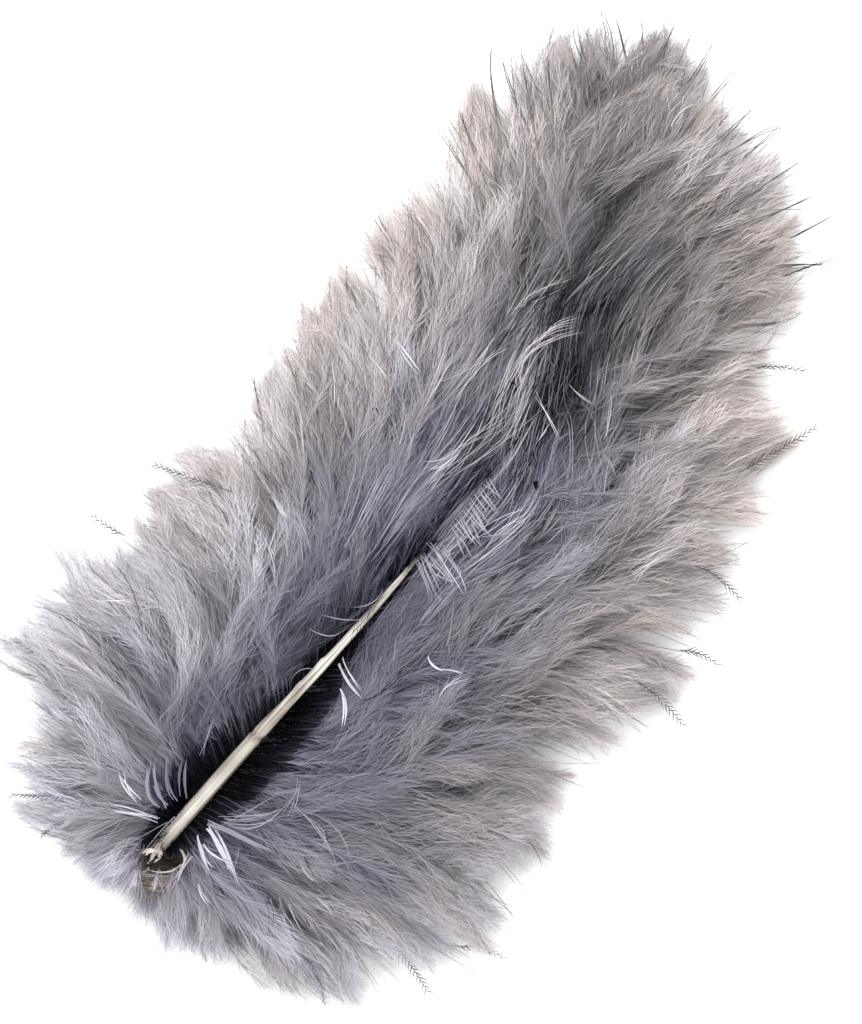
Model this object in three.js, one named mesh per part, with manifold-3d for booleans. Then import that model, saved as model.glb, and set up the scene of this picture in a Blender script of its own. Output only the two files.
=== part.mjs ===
// A marabou feather lying loose on a surface: a cream quill and shaft with soft grey down
// on both sides, drawn as 76 locks that spring from the shaft and are fused to it.
//
// Millimetres. +Y runs from the cut end of the quill to the tip and +Z is up.
// The feather rests on Z = 0, and X = 0, Y = 0 is the middle of the space it takes up.

import * as THREE from 'three';
import { mergeVertices } from 'three/addons/utils/BufferGeometryUtils.js';
import Module from 'manifold-3d';

const wasm = await Module();
wasm.setup();

// Middle of the down, in the frame that the points below are measured in
const CENTRE = [1.9, 2.2];

// Shaft: its line through the down, with the height of its axis as the third value
const SHAFT_LINE = [
  [-5.1, -54.7, 11.6],
  [-2.8, -36.3, 10.6],
  [0.0, -18.1, 9.6],
  [2.3, 0.8, 8.8],
  [3.5, 19.2, 8.2],
  [0.7, 36.2, 7.6],
  [-5.7, 53.8, 6.8],
  [-7.8, 58.3, 6.5],
];
const QUILL_RADIUS = 1.1;
const CUT_END_RADIUS = 0.75;
const SHAFT_TIP_RADIUS = 0.2;
const SHAFT_SIDES = 8;
const SHAFT_STEPS = 14;

// Locks of one side, from behind the cut end round to the tip: the shaft's Y where a lock
// leaves it, the angle it leaves at, its tip's X and Y, and the direction the tip points in.
// Angles are in degrees, the first from the shaft outwards, the last from +X towards +Y.
const LEFT_LOCKS = [
  [-51.5, 150, -4.5, -61.2, 262],
  [-51.0, 125, -14.0, -60.4, 220],
  [-50.0, 100, -23.0, -58.8, 204],
  [-49.0, 85, -26.6, -49.8, 194],
  [-47.0, 70, -36.8, -42.1, 184],
  [-42.0, 60, -34.0, -33.4, 178],
  [-36.0, 50, -32.2, -23.8, 176],
  [-30.0, 43, -31.2, -13.9, 168],
  [-24.0, 39, -27.2, -5.1, 154],
  [-17.0, 36, -27.0, 5.0, 150],
  [-8.0, 33, -25.2, 16.3, 149],
  [3.0, 31, -25.7, 28.0, 146],
  [15.0, 28, -25.6, 40.4, 142],
  [28.0, 25, -25.0, 52.4, 138],
  [37.0, 22, -20.6, 58.8, 132],
  [45.0, 20, -16.2, 64.2, 124],
];
const RIGHT_LOCKS = [
  [-51.5, 150, 2.7, -62.0, 285],
  [-51.0, 128, 11.8, -60.8, 312],
  [-50.0, 105, 23.5, -57.5, 332],
  [-49.0, 88, 31.0, -50.4, 342],
  [-46.0, 72, 39.4, -41.8, 352],
  [-41.0, 60, 35.6, -30.3, 354],
  [-34.0, 50, 34.8, -19.7, 364],
  [-28.0, 43, 36.0, -9.0, 368],
  [-20.0, 39, 39.8, 3.8, 378],
  [-11.0, 36, 37.2, 14.5, 386],
  [-2.0, 33, 33.6, 24.7, 398],
  [8.0, 31, 31.0, 34.8, 406],
  [17.0, 29, 24.6, 40.9, 410],
  [28.0, 26, 24.0, 53.1, 416],
  [37.0, 23, 17.8, 58.8, 424],
  [46.0, 19, 9.2, 63.2, 438],
];
const TIP_LOCKS = [
  [46.0, 10, -14.2, 64.6, 118],
  [49.0, 4, -9.4, 66.2, 104],
  [50.0, -6, -4.0, 66.0, 94],
  [46.0, -14, 2.2, 64.6, 86],
];

// Layers of locks from the surface up, each between two shares of the tables above.
// lift holds the heights of the two middle control points and of the tip. reach is the share
// of the way to the outline that a lock covers. hug is the share of its leaving angle that a
// lock keeps on the upper shaft, which the top layer folds over and hides.
const LAYERS = [
  { count: 12, from: 0.05, to: 1, reach: 1, hug: 1, lift: [4, -1, 0.5], width: 13, thickness: 1.9 },
  { count: 13, from: 0, to: 0.95, reach: 0.98, hug: 0.9, lift: [11, 11.5, 5.5], width: 12, thickness: 1.9 },
  { count: 11, from: 0.13, to: 0.97, reach: 0.86, hug: 0.35, lift: [19.5, 25, 10.5], width: 12, thickness: 2 },
];
const TIP_LAYER = { reach: 1, hug: 1, lift: [9, 9, 5], width: 9.5, thickness: 1.9 };

// The shaft is bare below the first Y and hidden above the second
const COVERED_RANGE = [-28, -4];

// How far a lock keeps its leaving and its tip direction, as a share of its length
const LOCK_STIFFNESS = 0.36;

// Growth isn't even: the most that a lock's tip direction, reach and lift stray
const STRAY_ANGLE = 7;
const STRAY_REACH = 0.04;
const STRAY_LIFT = 0.14;

// The down grows thinner towards the tip: full height below the first Y, thinnest at the second
const THINNING_RANGE = [15, 58];
const THINNEST = 0.5;

// Half the width of a lock along its length, from its root to its point
const LOCK_PROFILE = [
  [0.0, 0.0],
  [0.14, 0.03],
  [0.62, 0.2],
  [0.93, 0.38],
  [1.0, 0.54],
  [0.82, 0.69],
  [0.5, 0.83],
  [0.2, 0.94],
  [0.0, 1.0],
];
const LOCK_SIDES = 4;

// Larger than the feather every way
const GROUND_SIZE = 200;

const DOWN_COLOUR = '#908c91';
const DOWN_ROUGHNESS = 0.95;

const shaftCurve = new THREE.CatmullRomCurve3(
  SHAFT_LINE.map(([x, y, z]) => new THREE.Vector3(x, y, z)),
  false,
  'centripetal',
);

// Points closer than this are one point
const SAME_POINT = 1e-5;

const lerp = THREE.MathUtils.lerp;
const radians = THREE.MathUtils.degToRad;

// The shaft runs steadily along +Y, so halving finds where it passes a given Y
function shaftParameter(y) {
  let low = 0;
  let high = 1;
  for (let step = 0; step < 24; step += 1) {
    const middle = (low + high) / 2;
    if (shaftCurve.getPoint(middle).y < y) {
      low = middle;
    } else {
      high = middle;
    }
  }
  return low;
}

// Values of a lock between two rows of a table, for a share from 0 to 1 of the way along it
function rowAt(rows, share) {
  const place = share * (rows.length - 1);
  const index = Math.min(Math.floor(place), rows.length - 2);
  return rows[index].map((value, column) => lerp(value, rows[index + 1][column], place - index));
}

// Height factor of the down over the shaft's Y
function fullness(y) {
  return lerp(1, THINNEST, THREE.MathUtils.smoothstep(y, ...THINNING_RANGE));
}

// A number from -1 to 1 that differs from lock to lock and is the same each run
function stray(seed) {
  const value = Math.sin(seed * 12.9898) * 43758.5453;
  return 2 * (value - Math.floor(value)) - 1;
}

// Curve of one lock in space, from the shaft's axis to its tip. side is 1 on the left.
function lockCurve([rootY, leave, tipX, tipY, heading], side, { reach, hug, lift }) {
  const parameter = shaftParameter(rootY);
  const root = shaftCurve.getPoint(parameter);
  const forward = shaftCurve.getTangent(parameter);
  const kept = lerp(1, hug, THREE.MathUtils.smoothstep(rootY, ...COVERED_RANGE));
  const start = Math.atan2(forward.y, forward.x) + side * radians(leave * kept);
  const end = radians(heading);
  const tip = new THREE.Vector3(lerp(root.x, tipX, reach), lerp(root.y, tipY, reach), 0);
  const arm = LOCK_STIFFNESS * Math.hypot(tip.x - root.x, tip.y - root.y);
  const [first, second, last] = lift.map((height) => height * fullness(rootY));
  return new THREE.CubicBezierCurve3(
    root,
    new THREE.Vector3(root.x + arm * Math.cos(start), root.y + arm * Math.sin(start), first),
    new THREE.Vector3(tip.x - arm * Math.cos(end), tip.y - arm * Math.sin(end), second),
    tip.setZ(last),
  );
}

// Bends a geometry that stands on +Y from 0 to 1 along a curve. Its X becomes the width,
// level with the ground, and its Z the thickness.
function bendAlong(geometry, curve, width, thickness) {
  const position = geometry.getAttribute('position');
  const up = new THREE.Vector3(0, 0, 1);
  const point = new THREE.Vector3();
  for (let index = 0; index < position.count; index += 1) {
    point.fromBufferAttribute(position, index);
    const along = THREE.MathUtils.clamp(point.y, 0, 1);
    const tangent = curve.getTangent(along);
    const across = new THREE.Vector3().crossVectors(tangent, up).normalize();
    const above = new THREE.Vector3().crossVectors(across, tangent);
    const placed = curve
      .getPoint(along)
      .addScaledVector(across, point.x * width)
      .addScaledVector(above, point.z * thickness);
    position.setXYZ(index, placed.x, placed.y, placed.z);
  }
  return geometry;
}

// Closed solid of a geometry whose faces meet along their edges
function toSolid(geometry) {
  geometry.deleteAttribute('normal');
  geometry.deleteAttribute('uv');
  const merged = mergeVertices(geometry, SAME_POINT);
  const index = merged.getIndex().array;
  const triangles = [];
  for (let at = 0; at < index.length; at += 3) {
    const [a, b, c] = [index[at], index[at + 1], index[at + 2]];
    if (a !== b && b !== c && c !== a) {
      triangles.push(a, b, c);
    }
  }
  return new wasm.Manifold(new wasm.Mesh({
    numProp: 3,
    vertProperties: Float32Array.from(merged.getAttribute('position').array),
    triVerts: Uint32Array.from(triangles),
  }));
}

function toGeometry(solid) {
  const mesh = solid.getMesh();
  const geometry = new THREE.BufferGeometry();
  geometry.setAttribute('position', new THREE.BufferAttribute(Float32Array.from(mesh.vertProperties), 3));
  geometry.setIndex(new THREE.BufferAttribute(Uint32Array.from(mesh.triVerts), 1));
  geometry.computeVertexNormals();
  return geometry;
}

function shaftSolid() {
  const profile = [new THREE.Vector2(0, 0), new THREE.Vector2(CUT_END_RADIUS, 0)];
  for (let step = 1; step <= SHAFT_STEPS; step += 1) {
    const along = step / SHAFT_STEPS;
    profile.push(new THREE.Vector2(lerp(QUILL_RADIUS, SHAFT_TIP_RADIUS, along), along));
  }
  profile.push(new THREE.Vector2(0, 1));
  return toSolid(bendAlong(new THREE.LatheGeometry(profile, SHAFT_SIDES), shaftCurve, 1, 1));
}

function lockSolid(curve, { width, thickness }) {
  const profile = LOCK_PROFILE.map(([radius, along]) => new THREE.Vector2(radius, along));
  const spindle = new THREE.LatheGeometry(profile, LOCK_SIDES);
  return toSolid(bendAlong(spindle, curve, width / 2, thickness / 2));
}

// Every lock of one side, layer by layer, with the locks of one layer between those below it
function sideLocks(rows, side) {
  const locks = [];
  LAYERS.forEach((layer, level) => {
    for (let number = 0; number < layer.count; number += 1) {
      const seed = side * (100 * level + number + 1);
      const row = rowAt(rows, lerp(layer.from, layer.to, number / (layer.count - 1)));
      row[4] += STRAY_ANGLE * stray(seed);
      const reach = layer.reach - STRAY_REACH * Math.abs(stray(seed + 0.3));
      const raise = 1 + STRAY_LIFT * stray(seed + 0.6);
      const lift = layer.lift.map((height) => height * raise);
      locks.push(lockSolid(lockCurve(row, side, { reach, hug: layer.hug, lift }), layer));
    }
  });
  return locks;
}

function tipLocks() {
  return TIP_LOCKS.map((row) => lockSolid(lockCurve(row, 1, TIP_LAYER), TIP_LAYER));
}

// What lies below the surface, so that the underside is pressed flat where it rests
function belowGround() {
  const block = new THREE.BoxGeometry(GROUND_SIZE, GROUND_SIZE, GROUND_SIZE);
  return toSolid(block.translate(0, 0, -GROUND_SIZE / 2));
}

// Shaft and locks joined. Small spaces that the locks close in between them fill up, because
// only the largest part, which is the outer skin, is kept.
function featherSolid() {
  const pieces = [...sideLocks(LEFT_LOCKS, 1), ...sideLocks(RIGHT_LOCKS, -1), ...tipLocks()];
  const joined = pieces.reduce((whole, piece) => whole.add(piece), shaftSolid());
  const skins = joined.subtract(belowGround()).decompose();
  return skins.sort((first, second) => second.volume() - first.volume())[0];
}

const down = new THREE.MeshStandardMaterial({
  color: DOWN_COLOUR,
  roughness: DOWN_ROUGHNESS,
  metalness: 0,
});

const feather = new THREE.Mesh(toGeometry(featherSolid()).translate(-CENTRE[0], -CENTRE[1], 0), down);
feather.name = 'feather';

const group = new THREE.Group();
group.add(feather);

export default group;
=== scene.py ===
"""A marabou feather lying on a pale floor, seen from above.

The feather is made as the real one grows: a horn quill and shaft, barbs that leave the shaft on
both sides and gather into locks, and on each barb the fine barbules that make it fluffy. Every
thread is a thin tapered ribbon or tube in a joined mesh.

Lengths are in millimetres until a mesh is made. They are measured from the middle of the view,
with Y along the feather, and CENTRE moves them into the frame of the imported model.
"""

import math

import bpy
import numpy as np
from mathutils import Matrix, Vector


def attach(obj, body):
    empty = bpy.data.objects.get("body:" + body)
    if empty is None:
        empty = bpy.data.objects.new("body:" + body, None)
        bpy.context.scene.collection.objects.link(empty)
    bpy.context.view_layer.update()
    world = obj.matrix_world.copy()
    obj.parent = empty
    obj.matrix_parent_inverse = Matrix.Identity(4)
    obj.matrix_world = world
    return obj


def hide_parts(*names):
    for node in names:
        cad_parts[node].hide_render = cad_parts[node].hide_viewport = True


MM = 0.001

# The view: its size and scale, how far the feather's length is turned from the image's height,
# the camera's lens and sensor, and the height over the floor that the scale holds at
VIEW_WIDTH = 862
VIEW_HEIGHT = 1024
PIXELS_PER_MM = 8.0
FEATHER_TURN = 34.0
LENS = 100.0
SENSOR = 36.0
FOCUS_HEIGHT = 11.0

# The light: white all round and a soft box above, and half the floor's width in metres
WORLD_STRENGTH = 1.165
KEY_DIRECTION = (-0.45, 0.2, 1.0)
KEY_POWER = 6.2
FLOOR_HALF = 2.0

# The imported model's origin, and the least height of a thread over the floor
CENTRE = np.array([1.9, 2.2, 0.0])
GROUND = 0.05

# The shaft's middle line, from the cut end to the tip
SHAFT_LINE = [
    (-4.9, -54.7, 11.6), (-2.5, -36.3, 10.6), (0.3, -18.1, 9.6), (2.5, 0.8, 8.8), (3.5, 19.2, 8.2),
    (0.7, 36.2, 7.6), (-5.7, 53.8, 6.8), (-7.8, 58.3, 6.5),
]

# Where barbs leave the shaft (Y), the angle they leave at, their tip's X and Y, and the
# direction of the tip, from behind the cut end of the quill round to the feather's tip
LEFT_BARBS = [
    (-51.5, 150, -4.5, -61.2, 262), (-51.0, 125, -14.0, -60.4, 220), (-50.0, 100, -23.0, -58.8, 204),
    (-49.0, 85, -26.6, -49.8, 194), (-47.0, 70, -34.6, -42.0, 184), (-42.0, 60, -33.5, -33.4, 178),
    (-36.0, 50, -31.8, -23.8, 176), (-30.0, 43, -30.9, -13.9, 168), (-24.0, 39, -27.2, -5.1, 154),
    (-17.0, 36, -27.0, 5.0, 150), (-8.0, 33, -25.2, 16.3, 149), (3.0, 31, -25.7, 28.0, 146),
    (15.0, 28, -25.6, 40.4, 142), (28.0, 25, -25.0, 52.4, 138), (37.0, 22, -20.6, 58.8, 132),
    (45.0, 20, -16.2, 64.2, 124),
]
RIGHT_BARBS = [
    (-51.5, 150, 2.7, -62.0, 285), (-51.0, 128, 11.8, -60.8, 312), (-50.0, 105, 23.5, -57.5, 332),
    (-49.0, 88, 31.0, -50.4, 342), (-46.0, 72, 38.2, -41.6, 352), (-41.0, 60, 35.6, -30.3, 354),
    (-34.0, 50, 34.4, -19.7, 364), (-28.0, 43, 36.0, -9.0, 368), (-20.0, 39, 38.2, 3.4, 378),
    (-11.0, 36, 36.0, 14.1, 386), (-2.0, 33, 33.6, 24.7, 398), (8.0, 31, 31.0, 34.8, 406),
    (17.0, 29, 23.8, 40.2, 410), (28.0, 26, 23.4, 52.6, 416), (37.0, 23, 17.2, 58.0, 424),
    (46.0, 19, 8.8, 62.4, 438),
]
TIP_BARBS = [
    (40.0, 16, -16.2, 63.1, 122), (45.0, 8, -11.3, 65.6, 108), (48.0, 0, -5.7, 64.8, 98),
    (49.0, -6, -1.0, 64.5, 90), (46.0, -12, 3.6, 62.6, 82), (40.0, -18, 8.3, 60.4, 76),
]
BASE_BARBS = [
    (-51.5, 148, -9.0, -60.8, 246), (-52.5, 162, -5.0, -61.6, 260), (-53.0, 176, -1.5, -62.2, 272),
    (-52.5, 192, 2.5, -61.8, 284), (-51.5, 208, 7.0, -61.2, 298),
]

# Heights of a barb's two middle control points and of its tip, in the lowest, middle and
# highest layer of down
LIFTS = [(4.0, 0.6, 0.8), (11.0, 11.5, 5.5), (19.5, 25.0, 10.5)]
BARB_STIFFNESS = 0.36

# Along Y, the range where high barbs begin to hug the shaft, and the range where they begin to
# cross over it and hide it
HUGGING_RANGE = (-30.0, -8.0)
CROSSING_RANGE = (-9.0, -1.0)
SHORT_LOCK_TURN = 34.0
# The down grows thinner towards the tip
THINNING_RANGE = (15.0, 58.0)
THINNEST = 0.5

# Half the width of the bare trench on either side of the shaft, at places along Y, and the
# ranges where it begins and ends
TRENCH_Y = (-54.0, -49.2, -45.4, -41.3, -38.0, -35.0, -32.9, -29.5, -25.5, -22.0, -15.0, -6.0)
TRENCH_LEFT = (2.2, 3.2, 4.5, 4.6, 3.3, 2.5, 2.0, 1.4, 1.3, 1.1, 0.7, 0.3)
TRENCH_RIGHT = (2.4, 3.4, 3.8, 4.9, 4.8, 4.6, 4.7, 4.5, 3.8, 2.1, 1.1, 0.4)
TRENCH_BEGINS = (-56.5, -54.0)
TRENCH_ENDS = (-7.5, -5.5)

# The quill's radius at places along Y, and the last place where the quill shows
QUILL_Y = (
    -54.7, -53.8, -50.0, -40.0, -34.0, -30.0, -27.0, -24.0, -20.6, -14.0, -10.3, -6.6, 20.0, 58.3,
)
QUILL_RADIUS = (0.8, 0.9, 0.94, 0.92, 0.86, 0.68, 0.64, 0.66, 0.53, 0.48, 0.38, 0.26, 0.2, 0.1)
QUILL_SHOWN_TO = -6.8

# How far the quill rises over the shaft's line, at places along Y, before the down covers it
RISE_Y = (-46.0, -36.0, -25.0, -14.0, -8.5, -6.0, -3.0)
RISE = (0.0, 0.6, 2.4, 3.6, 3.3, 0.5, -2.5)

# Patches of painted shade where the down parts, which also thin the down where they are strong,
# or of painted light where the number is below 0, in view pixels: place, half length, half width,
# the direction of the length, and how dark
PAINTED_LIGHT_AND_SHADE = [
    (567, 380, 58, 29, 80, 0.95), (592, 300, 34, 13, 10, 0.6), (455, 500, 44, 15, 46, 0.5),
    (418, 540, 34, 14, 25, 0.5), (535, 455, 32, 12, 60, 0.35), (355, 602, 88, 24, 48, 0.5),
    (672, 246, 20, 11, 20, 0.45), (600, 215, 52, 26, 60, 0.3), (640, 285, 60, 20, 20, 0.2),
    (398, 892, 26, 12, -50, 0.25), (700, 645, 50, 40, 0, 0.18), (620, 285, 70, 40, 20, 0.12),
    (560, 740, 70, 50, -20, 0.1), (340, 640, 70, 34, 45, 0.14), (450, 700, 60, 40, 20, 0.12),
    (218, 675, 26, 20, 80, 0.2), (415, 765, 45, 34, 0, 0.2), (510, 688, 40, 12, 5, 0.25),
    (500, 745, 40, 12, -15, 0.15), (310, 560, 70, 34, 70, 0.14), (150, 680, 60, 26, 20, 0.1),
    (190, 782, 40, 24, 60, 0.46), (240, 722, 45, 24, 50, 0.3), (545, 396, 32, 18, 70, 0.28),
    (365, 885, 45, 28, -20, 0.14), (392, 938, 34, 24, -50, 0.12), (300, 445, 36, 28, 100, 0.12),
    (440, 835, 45, 30, -10, 0.2), (360, 795, 60, 30, 10, 0.12), (390, 615, 80, 34, 45, 0.12),
    (540, 740, 60, 34, -20, 0.12), (590, 290, 50, 30, 30, 0.12), (725, 135, 85, 52, -50, -0.45),
    (665, 190, 50, 40, 30, -0.12), (275, 400, 50, 40, 60, -0.15), (650, 415, 50, 40, 60, -0.12),
    (565, 90, 50, 40, 0, -0.26), (410, 290, 110, 60, 60, -0.26), (490, 155, 55, 42, 80, -0.36),
    (725, 410, 90, 55, 60, -0.29), (738, 490, 45, 34, 10, -0.2), (188, 488, 44, 30, 130, -0.2),
    (136, 742, 34, 26, 120, -0.18), (225, 560, 90, 52, 60, -0.43), (120, 650, 80, 50, 150, -0.22),
    (95, 790, 95, 50, 90, -0.3), (160, 910, 90, 48, -40, -0.42), (345, 945, 65, 44, -30, -0.38),
    (640, 695, 45, 34, -30, -0.38), (690, 590, 50, 40, 0, -0.15), (525, 565, 75, 45, 40, -0.16),
]

# Which way the down's surface runs, at view pixels, in degrees from the image's right
FLOW = [
    (30, 655, 155), (60, 640, 153), (50, 700, 160), (100, 560, 135), (150, 600, 130), (200, 540, 138),
    (240, 480, 118), (190, 485, 155), (120, 520, 155), (150, 650, 125), (110, 610, 140), (270, 500, 112),
    (300, 450, 100), (350, 500, 70), (300, 550, 82), (245, 600, 105), (200, 620, 117), (295, 605, 58),
    (330, 570, 50), (290, 650, 42), (320, 650, 42), (250, 680, 60), (222, 700, 82), (180, 700, 88),
    (150, 740, 112), (120, 760, 135), (80, 750, 155), (100, 800, 174), (50, 790, 176), (80, 835, 184),
    (110, 862, 200), (130, 885, 220), (158, 895, 250), (175, 930, 262), (200, 890, 285), (215, 950, 290),
    (235, 905, 302), (270, 930, 300), (300, 880, 335), (300, 960, 305), (330, 1000, 298), (350, 930, 320),
    (400, 960, 312), (270, 845, 345), (330, 840, 350), (260, 800, 14), (300, 775, 28), (350, 738, 55),
    (310, 805, 8), (375, 705, 80), (355, 680, 78), (400, 700, 72), (420, 650, 55), (450, 620, 43),
    (400, 620, 52), (380, 650, 64), (450, 700, 42), (440, 735, 38), (450, 770, 8), (500, 690, 14),
    (500, 740, -2), (550, 620, 23), (500, 600, 35), (550, 560, 37), (500, 550, 47), (480, 500, 52),
    (530, 500, 72), (560, 470, 72), (600, 450, 64), (640, 480, 40), (640, 430, 55), (600, 530, 43),
    (650, 540, 32), (700, 500, 13), (750, 500, 3), (700, 450, 32), (750, 440, 27), (740, 400, 30),
    (785, 420, 20), (650, 600, 8), (700, 620, -24), (600, 600, 20), (680, 570, 8), (740, 590, -24),
    (600, 650, 3), (650, 680, -20), (645, 705, -36), (580, 700, -14), (600, 760, -24), (520, 740, -14),
    (560, 785, -36), (450, 810, -8), (500, 835, -26), (545, 850, -54), (420, 855, -20), (480, 885, -36),
    (500, 940, -44), (400, 880, -40), (430, 930, -40), (360, 830, -4), (400, 800, -3), (250, 430, 107),
    (300, 350, 103), (350, 300, 100), (350, 400, 88), (400, 250, 113), (400, 350, 97), (450, 300, 88),
    (450, 200, 100), (420, 180, 110), (480, 150, 102), (500, 250, 78), (500, 200, 94), (450, 400, 57),
    (400, 450, 63), (450, 350, 62), (500, 350, 50), (430, 400, 61), (430, 470, 47), (500, 300, 60),
    (530, 280, 52), (540, 400, 68), (560, 350, 86), (575, 380, 84), (590, 330, 60), (350, 450, 77),
    (300, 500, 86), (380, 520, 62), (420, 520, 50), (550, 250, 62), (530, 200, 87), (550, 150, 85),
    (530, 100, 92), (500, 120, 100), (560, 60, 92), (600, 60, 86), (600, 150, 60), (580, 200, 50),
    (620, 180, 55), (640, 100, 62), (640, 40, 78), (680, 80, 57), (700, 100, 48), (720, 120, 43),
    (700, 150, 45), (660, 170, 50), (750, 180, 35), (720, 210, 37), (780, 210, 30), (700, 250, 27),
    (750, 260, 17), (800, 255, 17), (700, 300, 42), (740, 335, 37), (650, 300, 52), (620, 350, 72),
    (620, 400, 76), (655, 370, 55), (650, 250, 34), (800, 370, -15), (760, 370, 4), (600, 270, 47),
]
FLOW_REACH = 4.0

# Tufts of barbs that make the surface: how far apart, how many barbs each and barbules on each
# barb, how long, and how far in degrees they turn from the flow
TUFT_SPACING = 4.1
TUFT_BARBS = 9
TUFT_BARBULES = 38
TUFT_LENGTH = (12.0, 20.0)
TUFT_TURN = 11.0

# The colours of the down, cool and warm with BANDS steps in all, and of dry sheath, each with
# tones from the root, darkened by painted shade, to the pale edge, as sRGB values from 0 to 255
TONE_PLACES = (0.0, 0.12, 0.3, 0.5, 0.7, 0.86, 1.0)
COOL_TONES = (
    (3, 3, 7), (40, 42, 55), (98, 99, 116), (138, 137, 152), (164, 161, 171), (194, 191, 201),
    (220, 220, 231),
)
WARM_TONES = (
    (5, 4, 4), (50, 47, 45), (104, 100, 98), (143, 138, 136), (168, 160, 158), (195, 185, 182),
    (222, 212, 209),
)
HORN_TONES = (
    (10, 8, 7), (46, 40, 35), (88, 78, 71), (122, 111, 103), (152, 143, 135), (184, 177, 169),
    (214, 208, 201),
)
BANDS = 4
MAP_NAME = "OFBake"
UP = np.array([0, 0, 1.0])


def smoothstep(low, high, value):
    share = np.clip((value - low) / (high - low), 0, 1)
    return share * share * (3 - 2 * share)


def mix(first, second, share):
    return first + (second - first) * share


def unit(vectors):
    return vectors / np.maximum(np.linalg.norm(vectors, axis=-1, keepdims=True), 1e-9)


def facing_up(rng, spread, *shape):
    """Random directions round the vertical, with their spread."""
    return unit(rng.normal(0, spread, (*shape, 3)) + UP)


def even_shares(curves, number):
    return np.linspace(0, 1, number)[None].repeat(len(curves), 0)


def smooth_line(points, steps=24):
    """Points along a Catmull-Rom curve through the given ones."""
    points = np.array(points, float)
    padded = np.vstack([2 * points[0] - points[1], points, 2 * points[-1] - points[-2]])
    share = np.linspace(0, 1, steps, endpoint=False)[:, None]
    line = []
    for before, start, end, after in zip(padded, padded[1:], padded[2:], padded[3:]):
        line.append(
            start
            + 0.5 * share * (end - before)
            + share**2 * (before - 2.5 * start + 2 * end - 0.5 * after)
            + share**3 * (1.5 * (start - end) + 0.5 * (after - before))
        )
    return np.vstack([*line, points[-1:]])


SHAFT = smooth_line(SHAFT_LINE)
SHAFT_DIRECTION = unit(np.gradient(SHAFT, axis=0))


def shaft_at(y):
    return np.stack([np.interp(y, SHAFT[:, 1], column) for column in SHAFT.T], -1)


def quill_at(y):
    """The quill's middle line, which rises over the shaft's line before the down hides it."""
    line = shaft_at(y)
    line[..., 2] += np.interp(y, RISE_Y, RISE)
    return line


def shaft_direction_at(y):
    return unit(np.stack([np.interp(y, SHAFT[:, 1], column) for column in SHAFT_DIRECTION.T], -1))


def beside_shaft(points):
    """How far points N x ... x 3 lie to the right of the shaft's line."""
    return points[..., 0] - np.interp(points[..., 1], SHAFT[:, 1], SHAFT[:, 0])


def from_view(x, y):
    """The place of a pixel of the view."""
    turn = math.radians(90 - FEATHER_TURN)
    right, up = (x - VIEW_WIDTH / 2) / PIXELS_PER_MM, (VIEW_HEIGHT / 2 - y) / PIXELS_PER_MM
    return np.array([
        right * math.sin(turn) - up * math.cos(turn),
        right * math.cos(turn) + up * math.sin(turn),
    ])


def rows_at(rows, share):
    """Values between the rows of a table, for shares from 0 to 1 of the way along it."""
    table = np.array(rows, float)
    places = np.linspace(0, 1, len(table))
    return np.stack([np.interp(share, places, column) for column in table.T], -1)


def along(curves, share):
    """Points and unit tangents of cubic curves, N x 4 x 3, at shares N x M."""
    t = share[..., None]
    p0, p1, p2, p3 = (curves[:, None, k] for k in range(4))
    points = (1 - t) ** 3 * p0 + 3 * (1 - t) ** 2 * t * p1 + 3 * (1 - t) * t**2 * p2 + t**3 * p3
    slopes = (1 - t) ** 2 * (p1 - p0) + 2 * (1 - t) * t * (p2 - p1) + t**2 * (p3 - p2)
    return points, unit(slopes)


def shortened(curves, reach):
    """The first part of each cubic curve, up to its share reach."""
    t = reach[:, None]
    p0, p1, p2, p3 = (curves[:, k] for k in range(4))
    a, b, c = mix(p0, p1, t), mix(p1, p2, t), mix(p2, p3, t)
    d, e = mix(a, b, t), mix(b, c, t)
    return np.stack([p0, a, d, mix(d, e, t)], 1)


def turned(vectors, angle):
    """Vectors in the plane, N x 2, turned by angles N."""
    cosine, sine = np.cos(angle), np.sin(angle)
    return np.stack([
        vectors[:, 0] * cosine - vectors[:, 1] * sine,
        vectors[:, 0] * sine + vectors[:, 1] * cosine,
    ], -1)


def full_curves(values, side, layer, reach):
    """Curves of barbs from the shaft to the outline, N x 4 x 3. layer is 0 for the lowest barbs
    and 1 for the highest. High barbs that end early keep closer to the shaft's direction.
    """
    root_y, leave, tip_x, tip_y, heading = values.T
    root = shaft_at(root_y)
    forward = shaft_direction_at(root_y)
    high = smoothstep(0.45, 1.0, layer)
    kept = mix(1.0, mix(1.0, 0.35, high), smoothstep(*HUGGING_RANGE, root_y))
    start = np.arctan2(forward[:, 1], forward[:, 0]) + side * np.radians(leave) * kept
    short = np.clip((0.95 - reach) * 1.8, 0, 1) * high * smoothstep(-47, -38, root_y)
    turn = -side * np.radians(SHORT_LOCK_TURN) * short
    end = np.radians(heading) + turn * 1.3
    way = turned(np.stack([tip_x, tip_y], -1) - root[:, :2], turn)
    way *= (1 - 0.05 * high)[:, None]
    arm = BARB_STIFFNESS * np.linalg.norm(way, axis=1)
    full = mix(1.0, THINNEST, smoothstep(*THINNING_RANGE, root_y))
    heights = [np.interp(layer, [0, 0.5, 1], column) * full for column in np.array(LIFTS).T]
    tip = root[:, :2] + way
    first = root[:, :2] + np.stack([np.cos(start), np.sin(start)], -1) * arm[:, None]
    second = tip - np.stack([np.cos(end), np.sin(end)], -1) * arm[:, None]
    return np.stack([
        root,
        np.column_stack([first, heights[0]]),
        np.column_stack([second, heights[1]]),
        np.column_stack([tip, heights[2]]),
    ], 1)


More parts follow.
